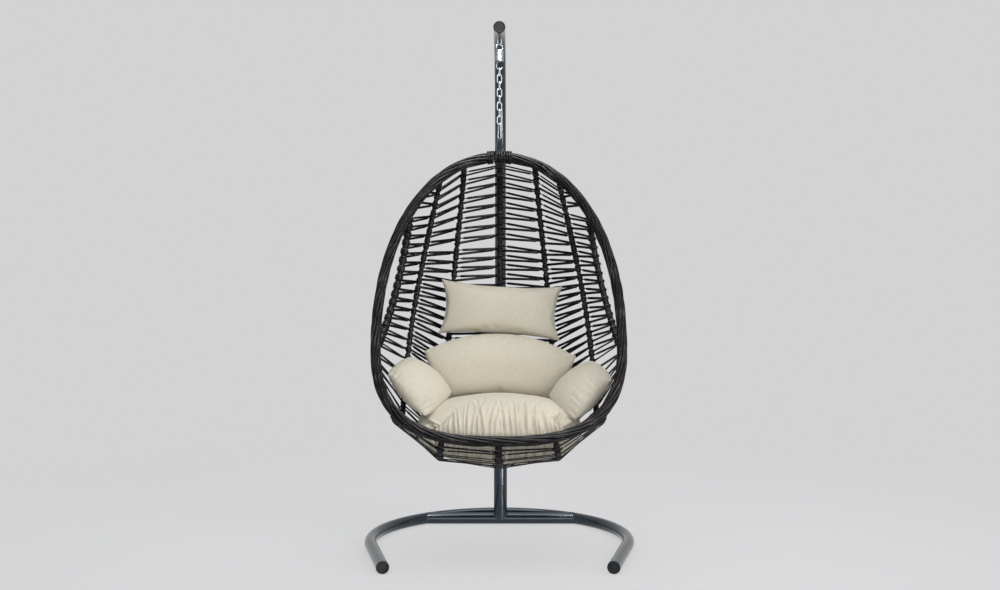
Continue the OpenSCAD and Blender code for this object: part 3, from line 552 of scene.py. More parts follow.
class Maker:
    """Makes pieces from lines, by one Geometry Nodes tree."""

    name = ""
    inputs: dict[str, str] = {}

    def __init__(self) -> None:
        """Builds the tree, which realises its instances and sets its material."""
        self.tree = tree = bpy.data.node_groups.new(self.name, "GeometryNodeTree")
        for way in ("INPUT", "OUTPUT"):
            tree.interface.new_socket("Geometry", in_out=way, socket_type="NodeSocketGeometry")
        for key, kind in {**self.inputs, "Finish": "NodeSocketMaterial"}.items():
            tree.interface.new_socket(key, in_out="INPUT", socket_type=kind)
        given = add_node(tree, "NodeGroupInput")
        real = add_node(tree, "GeometryNodeRealizeInstances", {"Geometry": self.shape(given)})
        finish = {"Geometry": real, "Material": given.outputs["Finish"]}
        dressed = add_node(tree, "GeometryNodeSetMaterial", finish)
        add_node(tree, "NodeGroupOutput", {"Geometry": dressed})

    def shape(self, given: bpy.types.Node) -> bpy.types.Node:
        """Adds the nodes that make the shape.

        Args:
            given: The tree's input node.

        Returns:
            The node whose first output holds the shape.
        """
        raise NotImplementedError

    def make(
        self,
        name: str,
        lines: Lines,
        tip: Tip,
        finish: bpy.types.Material,
        sizes: dict[str, float],
    ) -> bpy.types.Object:
        """Makes one piece, as a plain mesh at the origin.

        Args:
            name: The piece's name.
            lines: The lines it follows, in millimetres.
            tip: The turn at which its carrier hangs.
            finish: Its material.
            sizes: Input name to a length in millimetres, or to a whole number.

        Returns:
            The piece.
        """
        source = self.line_object(name, lines, tip)
        modifier = source.modifiers.new("make", "NODES")
        modifier.node_group = self.tree
        for item in self.tree.interface.items_tree:
            if item.item_type != "SOCKET" or item.in_out != "INPUT":
                continue
            if item.name == "Finish":
                modifier[item.identifier] = finish
            elif item.name in sizes:
                scale = MM if item.socket_type == LENGTH else 1
                modifier[item.identifier] = sizes[item.name] * scale
        mesh = bpy.data.meshes.new_from_object(evaluated(source))
        source.modifiers.remove(modifier)
        old = source.data
        bpy.data.objects.remove(source)
        bpy.data.meshes.remove(old)
        mesh.name = name
        mesh.materials.clear()
        mesh.materials.append(finish)
        mesh.polygons.foreach_set("material_index", [0] * len(mesh.polygons))
        made = new_object(name, mesh)
        mesh.shade_smooth()
        return made

    @staticmethod
    def line_object(name: str, lines: Lines, tip: Tip) -> bpy.types.Object:
        """Makes a mesh of bare lines in metres.

        Args:
            name: The object's name.
            lines: The lines, in millimetres.
            tip: The turn at which their carrier hangs.

        Returns:
            The object, with the strand's lie kept as an attribute.
        """
        turn = np.array(tip.matrix(), float)
        points = np.array(lines.points) @ turn[:3, :3].T + turn[:3, 3]
        lies = np.array(lines.lies) @ turn[:3, :3].T
        mesh = bpy.data.meshes.new(name)
        mesh.from_pydata((points * MM).tolist(), lines.edges, [])
        lie = mesh.attributes.new("lie", "FLOAT_VECTOR", "POINT")
        lie.data.foreach_set("vector", lies.astype(np.float32).ravel())
        return new_object(name, mesh)


class StrandMaker(Maker):
    """Sweeps a rounded flat section along lines, for strands, wire and rods."""

    name = "strand"
    inputs = {"Width": LENGTH, "Thickness": LENGTH, "Sides": WHOLE}

    def shape(self, given: bpy.types.Node) -> bpy.types.Node:
        """Sweeps the section and keeps its run and its sides as the grain."""
        tree = self.tree
        curve = add_node(tree, "GeometryNodeMeshToCurve", {"Mesh": given})
        lie = add_node(
            tree, "GeometryNodeInputNamedAttribute", {"Name": "lie"}, data_type="FLOAT_VECTOR"
        )
        laid = add_node(
            tree, "GeometryNodeSetCurveNormal", {"Curve": curve, "Normal": lie}, mode="FREE"
        )
        spline = add_node(tree, "GeometryNodeSplineParameter")
        run = add_node(tree, "GeometryNodeCaptureAttribute")
        run.capture_items.new("FLOAT", "run")
        feed(run, {"Geometry": laid, "run": spline.outputs["Length"]})
        sides = {"Resolution": given.outputs["Sides"], "Radius": 1.0}
        ring = add_node(tree, "GeometryNodeCurvePrimitiveCircle", sides)
        around = add_node(tree, "GeometryNodeCaptureAttribute")
        around.capture_items.new("VECTOR", "around")
        feed(around, {"Geometry": ring, "around": add_node(tree, "GeometryNodeInputPosition")})
        thick, wide = (
            add_node(tree, MATHS, {0: given.outputs[key], 1: 0.5}, operation="MULTIPLY")
            for key in ("Thickness", "Width")
        )
        scale = add_node(tree, COMBINE, {"X": thick, "Y": wide, "Z": 1.0})
        section = add_node(
            tree,
            "GeometryNodeTransform",
            {"Geometry": around.outputs["Geometry"], "Scale": scale},
        )
        sweep = {"Curve": run.outputs["Geometry"], "Profile Curve": section, "Fill Caps": True}
        swept = add_node(tree, "GeometryNodeCurveToMesh", sweep)
        side = add_node(tree, "ShaderNodeSeparateXYZ", {"Vector": around.outputs["around"]})
        axes = {"X": run.outputs["run"], "Y": side.outputs["X"], "Z": side.outputs["Y"]}
        return add_node(
            tree,
            "GeometryNodeStoreNamedAttribute",
            {"Geometry": swept, "Name": "grain", "Value": add_node(tree, COMBINE, axes)},
            data_type="FLOAT_VECTOR",
            domain="POINT",
        )


class BeadMaker(Maker):
    """Sets small rounded beads along lines, for weld ripples."""

    name = "beads"
    inputs = {"Pitch": LENGTH, "Length": LENGTH, "Girth": LENGTH, "Seed": WHOLE}

    def shape(self, given: bpy.types.Node) -> bpy.types.Node:
        """Sets uneven beads that lie along the line."""
        tree, girth = self.tree, given.outputs["Girth"]
        curve = add_node(tree, "GeometryNodeMeshToCurve", {"Mesh": given})
        points = add_node(
            tree,
            "GeometryNodeResampleCurve",
            {"Curve": curve, "Length": given.outputs["Pitch"]},
            mode="LENGTH",
        )
        tangent = add_node(tree, "GeometryNodeInputTangent")
        turn = add_node(tree, "FunctionNodeAlignRotationToVector", {"Vector": tangent}, axis="X")
        size = add_node(tree, COMBINE, {"X": given.outputs["Length"], "Y": girth, "Z": girth})
        uneven = add_node(
            tree,
            "FunctionNodeRandomValue",
            {2: 0.44, 3: 0.56, 8: given.outputs["Seed"]},
            data_type="FLOAT",
        )
        scale = add_node(
            tree, "ShaderNodeVectorMath", {0: size, "Scale": uneven.outputs[1]}, operation="SCALE"
        )
        ball = {"Segments": 8, "Rings": 5, "Radius": 1.0}
        bead = add_node(tree, "GeometryNodeMeshUVSphere", ball)
        smooth = add_node(tree, "GeometryNodeSetShadeSmooth", {"Geometry": bead})
        return add_node(
            tree,
            "GeometryNodeInstanceOnPoints",
            {"Points": points, "Instance": smooth, "Rotation": turn, "Scale": scale},
        )


class Workshop:
    """What every sub-assembly needs: the frame, the finishes and the makers."""

    def __init__(self, frame: dict) -> None:
        """Keeps the frame and prepares finishes and makers."""
        self.frame = frame
        self.finishes = Finishes()
        self.strands = StrandMaker()
        self.beads = BeadMaker()

    def dress(self, nodes: list[str], finish: bpy.types.Material) -> None:
        """Gives frame nodes a finish.

        Args:
            nodes: The nodes' names.
            finish: The material.
        """
        for name in nodes:
            piece = self.frame["nodes"][name]
            piece.data.materials.clear()
            piece.data.materials.append(finish)
            for face in piece.data.polygons:
                face.material_index = 0

    def place(self, piece: bpy.types.Object, body: str, stands_for: tuple[str, ...] = ()) -> None:
        """Sets a piece on its body and reports it.

        Args:
            piece: The piece, at the origin.
            body: The body it rides on.
            stands_for: Frame nodes that it replaces.
        """
        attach(piece, body)
        if stands_for:
            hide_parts(*stands_for)
        log.info("%s: %d faces on %s", piece.name, len(piece.data.polygons), body)

    def strand(
        self,
        name: str,
        lines: Lines,
        section: tuple[float, float, int],
        finish: bpy.types.Material,
        stands_for: tuple[str, ...] = (),
        body: str = "basket",
    ) -> None:
        """Makes a piece of strand, wire or rod and places it.

        Args:
            name: The piece's name.
            lines: The lines it follows, in millimetres.
            section: Width and thickness in millimetres, and how many sides.
            finish: Its material.
            stands_for: Frame nodes that it replaces.
            body: The body it rides on.
        """
        tip = BASKET_TIP if body == "basket" else STILL
        sizes = dict(zip(("Width", "Thickness", "Sides"), section))
        self.place(self.strands.make(name, lines, tip, finish, sizes), body, stands_for)


# ---------------------------------------------------------------- stand


@dataclass
class Stand:
    """The bowed base, the post and the arm, with their welds."""

    shop: Workshop
    bow_r: float = 484.0
    bow_y: float = 452.3
    crossbar_r: float = 22.0
    post_r: float = 27.0
    post_y: float = 342.3
    arm_z: float = 1945.0
    eye_half: float = 12.0
    eye_wire_r: float = 3.0
    weld_pitch: float = 3.2
    weld_girth: float = 6.0
    eye_weld_girth: float = 3.6
    rim_bead: float = 3.2

    def build(self) -> None:
        """Dresses the stand and adds its welds."""
        finishes = self.shop.finishes
        tubes = ["base_bow", "base_crossbar", "lower_post", "arm_tube", "arm_eye"]
        plastic = ["foot_plug_left", "foot_plug_right", "post_sleeve", "arm_end_plug"]
        self.shop.dress(tubes, finishes.graphite)
        self.shop.dress(plastic, finishes.black)
        self.shop.dress(["lock_bolts", "lock_nuts"], finishes.zinc)
        for name, lines, girth in (
            ("crossbar_welds", self.crossbar_seams(), self.weld_girth),
            ("post_weld", self.post_seam(), self.weld_girth),
            ("eye_welds", self.eye_seams(), self.eye_weld_girth),
        ):
            sizes = {"Pitch": self.weld_pitch, "Length": girth, "Girth": girth, "Seed": len(name)}
            piece = self.shop.beads.make(name, lines, STILL, finishes.graphite, sizes)
            self.shop.place(piece, "stand")
        section = (self.rim_bead, self.rim_bead, 8)
        self.shop.strand("plug_rims", self.plug_rims(), section, finishes.black, body="stand")

    def plug_rims(self) -> Lines:
        """Returns the raised rims moulded round the faces of the plugs."""
        lines = Lines()
        for name in ("foot_plug_left", "foot_plug_right", "arm_end_plug"):
            centre, normal = self.plug_face(name)
            side = unit(np.cross(normal, UP))
            ring = []
            for a in circle(48):
                spoke = side * math.cos(a) + np.cross(normal, side) * math.sin(a)
                ring.append(centre + spoke * (TUBE_R - self.rim_bead))
            lines.add(ring, [normal] * len(ring), closed=True)
        return lines

    def plug_face(self, name: str) -> tuple[np.ndarray, np.ndarray]:
        """Finds a plug's face.

        Args:
            name: The plug's node.

        Returns:
            The face's middle in millimetres, and its outward direction.
        """
        mesh = self.shop.frame["nodes"][name].data
        front = [f for f in mesh.polygons if f.normal.y < -0.7]
        area = sum(f.area for f in front)
        normal = sum((f.normal * f.area for f in front), Vector())
        middle = sum((f.center * f.area for f in front), Vector()) / area
        out = normal.normalized()
        reach = max((v.co - middle) @ out for v in mesh.vertices)
        return np.array(middle + out * reach) / MM, np.array(out)

    def crossbar_seams(self) -> Lines:
        """Returns the seams where the crossbar's ends meet the bow."""
        lines = Lines()
        centre_y = self.bow_y - self.bow_r
        for side in Turn:
            seam = []
            for k in range(25):
                a = math.radians(mix(-45, 225, k / 24))
                y = self.post_y + self.crossbar_r * math.cos(a)
                rise = self.crossbar_r * math.sin(a)
                reach = self.bow_r - math.sqrt(max(TUBE_R**2 - rise**2, 4.0))
                x = math.sqrt(max(reach**2 - (y - centre_y) ** 2, 0))
                seam.append((side.value * x, y, TUBE_R + rise))
            lines.add(seam, [UP] * len(seam))
        return lines

    def post_seam(self) -> Lines:
        """Returns the seam where the post's foot saddles the crossbar."""
        seam = []
        for a in circle(40):
            across = self.post_r * math.sin(a)
            drop = math.sqrt(max(self.crossbar_r**2 - across**2, 0))
            seam.append((self.post_r * math.cos(a), self.post_y + across, TUBE_R + drop))
        return Lines().add(seam, [UP] * len(seam), closed=True)

    def eye_seams(self) -> Lines:
        """Returns the rings where the eye's legs meet the arm."""
        lines = Lines()
        for side in Turn:
            ring = []
            for a in circle(16):
                x = self.eye_wire_r * math.cos(a)
                y = HANG_Y + side.value * self.eye_half + self.eye_wire_r * math.sin(a)
                ring.append((x, y, self.arm_z - math.sqrt(TUBE_R**2 - x * x)))
            lines.add(ring, [UP] * len(ring), closed=True)
        return lines


# ----------------------------------------------------------- suspension


@dataclass
class Suspension:
    """The link, the spring, the chain and the snap hook."""

    shop: Workshop
    wire_d: float = 4.5
    coil_r: float = 14.75
    coils: int = 8
    coil_gap: float = 0.5
    top_z: float = 1888.25
    top_rise: float = 11.0
    low_drop: float = 19.0
    low_r: float = 11.5
    top_turn: float = 40.0
    low_turn: float = 10.0
    loop_angle: float = 200.0
    hook_angle: float = 165.0

    def build(self) -> None:
        """Dresses the metal and winds the spring."""
        zinc = self.shop.finishes.zinc
        names = ["top_link", "chain_upper", "chain_lower", "snap_hook", "snap_gate", "gate_pin"]
        self.shop.dress(names, zinc)
        path = self.spring_path()
        lines = Lines().add(path, self.lies(path))
        section = (self.wire_d, self.wire_d, 12)
        self.shop.strand("spring_wire", lines, section, zinc, ("spring",), "spring")

    def hook(self, hook_r: float, rise: float, arc: float) -> list[np.ndarray]:
        """Bends a hook up from the end of the coil.

        Args:
            hook_r: Radius of the hook.
            rise: Height of its centre over the coil's end.
            arc: Angle that it covers.

        Returns:
            Its points, from the coil on.
        """
        bend = []
        for k in range(1, 13):
            a = math.radians(7.5 * k)
            y, z = -self.coil_r * math.cos(a) ** 2, rise * (1 - math.cos(a))
            bend.append((hook_r * math.sin(a), y, z))
        for k in range(1, 29):
            a = math.radians(arc * k / 28)
            bend.append((hook_r * math.cos(a), 0.0, rise + hook_r * math.sin(a)))
        return [np.array(p) for p in bend]

    def spring_path(self) -> list[np.ndarray]:
        """Returns the spring's wire from its lower hook's tip to its top loop's tip."""
        coil_top = self.top_z - self.top_rise - self.coil_r
        coil_low = coil_top - self.coils * (self.wire_d + self.coil_gap)

        def turned(p: np.ndarray, degrees: float, z: float) -> np.ndarray:
            """Returns a point turned about the spring's axis and lifted by z."""
            c, s = math.cos(math.radians(degrees)), math.sin(math.radians(degrees))
            return np.array([p[0] * c - p[1] * s, p[0] * s + p[1] * c, z])

        low = self.hook(self.low_r, self.low_drop, self.hook_angle)
        high = self.hook(self.coil_r, self.top_rise, self.loop_angle)
        start = self.low_turn - 90
        wind = 360 * self.coils + self.top_turn - self.low_turn
        steps = round(wind / 12)
        path = [
            turned(np.array([-x, y, 0]), self.low_turn, coil_low - drop) for x, y, drop in low[::-1]
        ]
        for k in range(steps + 1):
            a = math.radians(start + wind * k / steps)
            z = mix(coil_low, coil_top, k / steps)
            path.append(np.array([self.coil_r * math.cos(a), self.coil_r * math.sin(a), z]))
        path += [turned(p, self.top_turn, coil_top + p[2]) for p in high]
        return [p + np.array([0, HANG_Y, 0]) for p in path]

    def lies(self, path: list[np.ndarray]) -> list[np.ndarray]:
        """Returns a steady outward direction at each point of the wire."""
        lies = []
        for k, p in enumerate(path):
            ahead = unit(path[min(k + 1, len(path) - 1)] - path[max(k - 1, 0)])
            out = np.array([p[0], p[1] - HANG_Y, 0.05])
            lies.append(unit(out - (out @ ahead) * ahead))
        return lies


# --------------------------------------------------------------- basket


@dataclass
class BasketShape:
    """The lines of the basket: front hoop, side hoops and ribs."""

    half_width: float = 442.0
    rise: float = 662.0
    fall: float = 357.0
    upper_power: float = 2.1
    lower_power: float = 2.8
    lean: float = 17.2
    outer_r: float = 19.95
    bare_half: float = 26.0
    back_depth: float = 262.0
    back_drop: float = 562.0
    rib_top: tuple[float, ...] = (0.0, 16.5, 29.0)
    rib_low: tuple[float, ...] = (180.0, 161.0, 126.0)
    rib_low_x: tuple[float, ...] = (0.0, 218.0, 366.0)
    rib_low_drop: tuple[float, ...] = (1145.0, 1117.0, 985.0)
    rib_low_front: tuple[float, ...] = (40.0, 40.0, 60.0)
    rib_r: float = 11.0
    side_angles: tuple[float, float] = (47.5, 93.0)
    side_bulge: float = 125.0
    side_r: float = 12.5
    clearance: float = 1.2
    search: float = 80.0

    def __post_init__(self) -> None:
        """Works out the ribs and hoops once."""
        lean = math.radians(self.lean)
        self.waist_z = TOP_Z - self.rise
        self.normal = np.array([0, math.cos(lean), -math.sin(lean)])
        self.hoop = Course([self.hoop_point(a) for a in np.arange(0, 360.5, 1.5)])
        self.courses = [Course(self.rib_course(i)) for i in range(3)]
        self.ribs = [
            self.fitted(course, angles, self.rib_r)
            for course, angles in zip(self.courses, zip(self.rib_top, self.rib_low))
        ]
        self.side_course = Course(self.side_hoop_course())
        self.side_hoop = self.fitted(self.side_course, self.side_angles, self.side_r)

    def plane_y(self, z: float) -> float:
        """Returns the front hoop's place along Y at a height."""
        return HANG_Y - (TOP_Z - z) * math.tan(math.radians(self.lean))

    def hoop_point(self, degrees: float) -> np.ndarray:
        """Returns the front hoop's centre at an angle from its top."""
        c, s = math.cos(math.radians(degrees)), math.sin(math.radians(degrees))
        power = 2 / (self.upper_power if c >= 0 else self.lower_power)
        tall = self.rise if c >= 0 else self.fall
        z = self.waist_z + tall * math.copysign(abs(c) ** power, c)
        return np.array([self.half_width * math.copysign(abs(s) ** power, s), self.plane_y(z), z])

    def rib_x(self, i: int, z: float) -> float:
        """Returns a rib's distance from the middle at a height."""
        top = self.hoop_point(self.rib_top[i])
        low_z = TOP_Z - self.rib_low_drop[i]
        share = math.sin(math.pi / 2 * (top[2] - z) / (top[2] - low_z))
        return mix(top[0], self.rib_low_x[i], share)

    def rib_course(self, i: int) -> list[np.ndarray]:
        """Returns a rib as three quarter ellipses: back, underside and front."""
        back_z = TOP_Z - self.back_drop
        share = ((back_z - self.waist_z) / self.rise) ** self.upper_power
        back_half = self.half_width * (1 - share) ** (1 / self.upper_power)
        centre_y = self.plane_y(back_z)
        top = self.hoop_point(self.rib_top[i])
        foot = self.hoop_point(self.rib_low[i])
        low_z = TOP_Z - self.rib_low_drop[i]
        low_y = HANG_Y - self.rib_low_front[i]
        deep = HANG_Y + self.back_depth - centre_y
        back_y = centre_y + deep * math.sqrt(1 - (self.rib_x(i, back_z) / back_half) ** 2)
        points = []
        for a in np.radians(np.arange(0, 90.1, 2.5)):
            z = mix(back_z, top[2], math.cos(a))
            points.append((self.rib_x(i, z), mix(top[1], back_y, math.sin(a)), z))
        for a in np.radians(np.arange(2.5, 90.1, 2.5)):
            z = mix(back_z, low_z, math.sin(a))
            points.append((self.rib_x(i, z), mix(low_y, back_y, math.cos(a)), z))
        for a in np.radians(np.arange(2.5, 90.1, 2.5)):
            out = 1 - math.cos(a)
            x, y = mix(self.rib_low_x[i], foot[0], out), mix(low_y, foot[1], math.sin(a))
            points.append((x, y, mix(low_z, foot[2], out)))
        return points

    def side_hoop_course(self) -> list[np.ndarray]:
        """Returns the right side hoop, which bows out behind the front hoop."""
        top, foot = (self.hoop_point(a) for a in self.side_angles)
        points = []
        for k in range(65):
            f = (1 - math.cos(math.pi * k / 64)) / 2
            bulge = self.side_bulge * math.sin(math.pi * f) ** 0.65 if 0 < f < 1 else 0
            points.append(top + (foot - top) * f + self.normal * bulge)
        return points

    def fitted(self, course: Course, angles: tuple[float, float], r: float) -> Course:
        """Cuts a line where its ends meet the strands round the front hoop.

        Args:
            course: The whole line, from hoop to hoop.
            angles: The hoop's angles at its two ends.
            r: Radius of the rib or side hoop.

        Returns:
            The line between the cuts.
        """
        start = self.end_cut(course, angles[0], r)
        end = course.length - self.end_cut(Course(course.points[::-1]), angles[1], r)
        return course.cut(start, end, 6)

    def end_cut(self, course: Course, angle: float, r: float) -> float:
        """Returns how far along a line its rib stands clear of the hoop's strands."""
        axis = unit(self.hoop_point(angle + 0.5) - self.hoop_point(angle - 0.5))
        d = self.outer_r
        while d < self.outer_r + self.search:
            way = course.heading(d)
            u = unit(np.cross(way, axis))
            v = np.cross(way, u)
            reach = []
            for a in np.radians(np.arange(0, 360, 30)):
                q = course.at(d) + r * (u * math.cos(a) + v * math.sin(a)) - course.at(0)
                reach.append(np.linalg.norm(q - (q @ axis) * axis))
            if min(reach) >= self.outer_r + self.clearance:
                break
            d += 0.5
        return d


@dataclass
class Hoops:
    """The front hoop's strands and knot, and the wrapped side hoops."""

    shop: Workshop
    shape: BasketShape
    strand_count: int = 8
    strand_ring_r: float = 14.6
    strand_turns: float = 4.0
    strand_w: float = 11.6
    strand_t: float = 9.0
    wrap_w: float = 6.6
    knot_loops: int = 11
    knot_r: float = 24.0
    knot_t: float = 3.4
    side_rod_r: float = 9.8
    side_wrap_t: float = 2.4
    side_pitch: float = 7.2
    side_end: float = 10.0
    side_step: float = 8.0
    rim_steps: int = 330

    def build(self) -> None:
        """Makes the strands, the knot and the side hoops."""
        strand, wicker = self.shop.strand, self.shop.finishes.wicker
        graphite = self.shop.finishes.graphite
        self.shop.dress(["front_hoop", "bail"], graphite)
        section = (self.strand_w, self.strand_t, 10)
        strand("front_hoop_strands", self.rim_lines(), section, wicker, ("hoop_wrap",))
        section = (self.wrap_w, self.knot_t, 8)
        strand("top_knot_strand", self.knot_lines(), section, wicker, ("top_knot",))
        course = self.shape.side_course
        course = course.cut(self.side_end, course.length - self.side_end, self.side_step)
        wrap_r, girth = self.side_rod_r + self.side_wrap_t / 2, 2 * self.side_rod_r
        right = (wound(course, wrap_r, self.side_pitch), rod_lines(course))
        for side in Turn:
            wrap, rod = right if side is Turn.RIGHT else [lines.mirrored() for lines in right]
            word = side.name.lower()
            strand(f"side_hoop_rod_{word}", rod, (girth, girth, 10), graphite)
            section, node = (self.wrap_w, self.side_wrap_t, 6), f"side_hoop_{word}"
            strand(f"side_hoop_wrap_{word}", wrap, section, wicker, (node,))

    def rim_lines(self) -> Lines:
        """Returns the strands laid round the front hoop's rod."""
        rng = random.Random(11)
        hoop, normal = self.shape.hoop, self.shape.normal
        start, end = self.shape.bare_half, hoop.length - self.shape.bare_half
        spans = ((3, 8), (0, math.tau), (0.3, 0.8))
        lines = Lines()
        for j in range(self.strand_count):
            beats = [[rng.uniform(*span) for span in spans] for _ in range(3)]
            points, lies = [], []
            for k in range(self.rim_steps + 1):
                t = k / self.rim_steps
                d = mix(start, end, t)
                out = unit(np.cross(hoop.heading(d), normal))
                sway = sum(s * math.sin(math.tau * f * t * 3 + p) for f, p, s in beats)
                a = math.tau * j / self.strand_count - math.tau * self.strand_turns * t
                a += 0.05 * sway
                plait = 0.9 * math.sin(math.tau * (30 * t + 0.5 * j)) + 0.4 * sway
                spoke = out * math.cos(a) + normal * math.sin(a)
                points.append(hoop.at(d) + spoke * (self.strand_ring_r + 0.55 * plait))
                lies.append(spoke)
            lines.add(points, lies)
        return lines

    def knot_lines(self) -> Lines:
        """Returns the strand wound round the top of the hoop."""
        rng = random.Random(5)
        shape = self.shape
        pitch, skip = self.wrap_w + 0.6, 8.6
        outer = (self.knot_loops - 3) // 2
        nudges = [rng.uniform(-0.8, 0.8) for _ in range(self.knot_loops + 1)]
        points, lies = [], []
        for k in range(32 * (self.knot_loops - 1) + 1):
            turns = k / 32
            low = max(0, min(1, turns - outer + 1))
            high = max(0, min(1, turns - (self.knot_loops - outer - 1)))
            x = pitch * (turns - (self.knot_loops - 1) / 2) + skip * (low + high - 1)
            share = 1 - (abs(x) / shape.half_width) ** shape.upper_power
            z = shape.waist_z + shape.rise * share ** (1 / shape.upper_power)
            a = math.tau * turns
            out = np.array([0, math.sin(a), math.cos(a)])
            r = self.knot_r - 0.5 + 0.6 * nudges[int(turns)]
            points.append(np.array([x + nudges[int(turns)], shape.plane_y(z), z]) + out * r)
            lies.append(out)
        return Lines().add(points, lies)


@dataclass
class Cage:
    """The wrapped ribs and the net that runs to and fro between them."""

    shop: Workshop
    shape: BasketShape
    core_r: tuple[float, ...] = (8.6, 7.0, 7.0)
    wrap_t: float = 1.6
    strand_w: float = 10.0
    strand_t: float = 3.0
    wrap_w: float = 6.6
    wrap_gap: float = 0.5
    rib_end: float = 9.0
    rib_step: float = 8.0
    pitches: tuple[tuple[float, ...], ...] = ((44.0, 38.0, 36.0, 50.0), (40.0, 37.0, 34.0))
    short_turn: float = 2.5
    climb: float = 10.5
    seat_angle: float = 17.0
    leave_angle: float = 75.0
    foot_ease: float = 0.75
    rim_seat: float = 15.0
    inner_runs: tuple[float, ...] = (0.012, 0.25, 0.5, 0.75, 1.012)
    outer_runs: tuple[tuple[float, float], ...] = ((0.014, 0.118), (0.124, 0.612), (0.628, 0.975))
    edge_shares: tuple[float, float] = (0.12, 0.62)

    def __post_init__(self) -> None:
        """Works out the outer edge of the net."""
        shape = self.shape
        high = (shape.rib_top[2], shape.side_angles[0])
        low = (shape.side_angles[1], shape.rib_low[2])
        self.shoulder = Course([shape.hoop_point(mix(*high, k / 8)) for k in range(9)])
        self.hip = Course([shape.hoop_point(mix(*low, k / 12)) for k in range(13)])

    def build(self) -> None:
        """Wraps the ribs and weaves the net."""
        strand, wicker = self.shop.strand, self.shop.finishes.wicker
        for i, name in enumerate(("rib_centre", "rib_inner", "rib_outer")):
            course = self.shape.courses[i]
            course = course.cut(self.rib_end, course.length - self.rib_end, self.rib_step)
            wrap_r = self.core_r[i] + self.wrap_t / 2
            wrap = wound(course, wrap_r, self.wrap_w + self.wrap_gap)
            rod, girth = rod_lines(course), 2 * self.core_r[i]
            for side in Turn if i else (None,):
                # The lines are drawn on the right, so this puts each pair of ribs on the
                # side opposite to its names. It should be the left ones that are mirrored.
                if side is Turn.RIGHT:
                    wrap, rod = wrap.mirrored(), rod.mirrored()
                node = f"{name}_{side.name.lower()}" if side else name
                strand(f"{node}_rod", rod, (girth, girth, 10), self.shop.finishes.graphite)
                strand(f"{node}_wrap", wrap, (self.wrap_w, self.wrap_t, 6), wicker, (node,))
        for i, (bay, count) in enumerate((("inner", 4), ("middle", 4), ("outer", 3))):
            for side in Turn:
                lines = self.bay_lines(i, side)
                if side is Turn.LEFT:
                    lines = lines.mirrored()
                name = f"net_{bay}_{side.name.lower()}"
                nodes = tuple(f"{name}_{k}" for k in range(1, count + 1))
                strand(name, lines, (self.strand_w, self.strand_t, 8), wicker, nodes)

    def edge_place(self, g: float) -> tuple[int, Course, float]:
        """Returns the part of the net's outer edge at a share, and the place on it."""
        low, high = self.edge_shares
        if g < low:
            return 0, self.shoulder, g / low
        if g < high:
            return 1, self.shape.side_hoop, (g - low) / (high - low)
        return 2, self.hip, (g - high) / (1 - high)

    def rail(self, i: int, g: float) -> np.ndarray:
        """Returns a rail's centre at a share of its length; rail 3 is the edge."""
        if i < 0:
            return self.rail(1, g) * FLIP
        if i < 3:
            return self.shape.ribs[i].at(g * self.shape.ribs[i].length)
        _, course, share = self.edge_place(g)
        return course.at(share * course.length)

    def heading(self, i: int, g: float) -> np.ndarray:
        """Returns a rail's direction at a share of its length."""
        if i < 3:
            return self.shape.ribs[i].heading(g * self.shape.ribs[i].length)
        _, course, share = self.edge_place(g)
        return course.heading(share * course.length)

    def skin_out(self, i: int, g: float) -> np.ndarray:
        """Returns the outward direction of the basket's skin at a rail."""
        over = self.rail(min(i + 1, 3), g) - self.rail(i - 1, g)
        return unit(np.cross(over, self.heading(i, g)))

    def turn_round(
        self, i: int, start: float, end: float, side: int, turns: int
    ) -> tuple[list[np.ndarray], list[np.ndarray]]:
        """Winds a strand round a rail between two crossings.

        Args:
            i: The rail.
            start: Share of its length where the strand comes in.
            end: Share where it leaves.
            side: The bay that it comes from and goes back to, 1 or -1.
            turns: Whole turns round the rail.

        Returns:
            Points, and the outward direction at each.
        """
        edge_part = self.edge_place(start)[0] if i == 3 else 1
        if edge_part != 1:
            points, lies = [], []
            for g in (start, end):
                at, way = self.rail(i, g), self.heading(i, g)
                inward = self.rail(i - 1, g) - at
                inward = unit(inward - (inward @ way) * way)
                points.append(at + inward * self.rim_seat)
                lies.append(self.skin_out(i, g))
            return points, lies
        r = self.shape.side_r if i == 3 else self.core_r[i] + self.wrap_t
        r += self.strand_t / 2 + 0.1
        first, last = self.seat_angle, self.leave_angle - 360 * turns
        count = 10 * turns
        points, lies = [], []
        for k in range(count + 1):
            g = mix(start, end, k / count)
            a = math.radians(mix(first, last, k / count))
            out, way = self.skin_out(i, g), self.heading(i, g)
            spoke = out * math.cos(a) + np.cross(way, out) * side * math.sin(a)
            points.append(self.rail(i, g) + spoke * r)
            lies.append(spoke)
        return points, lies

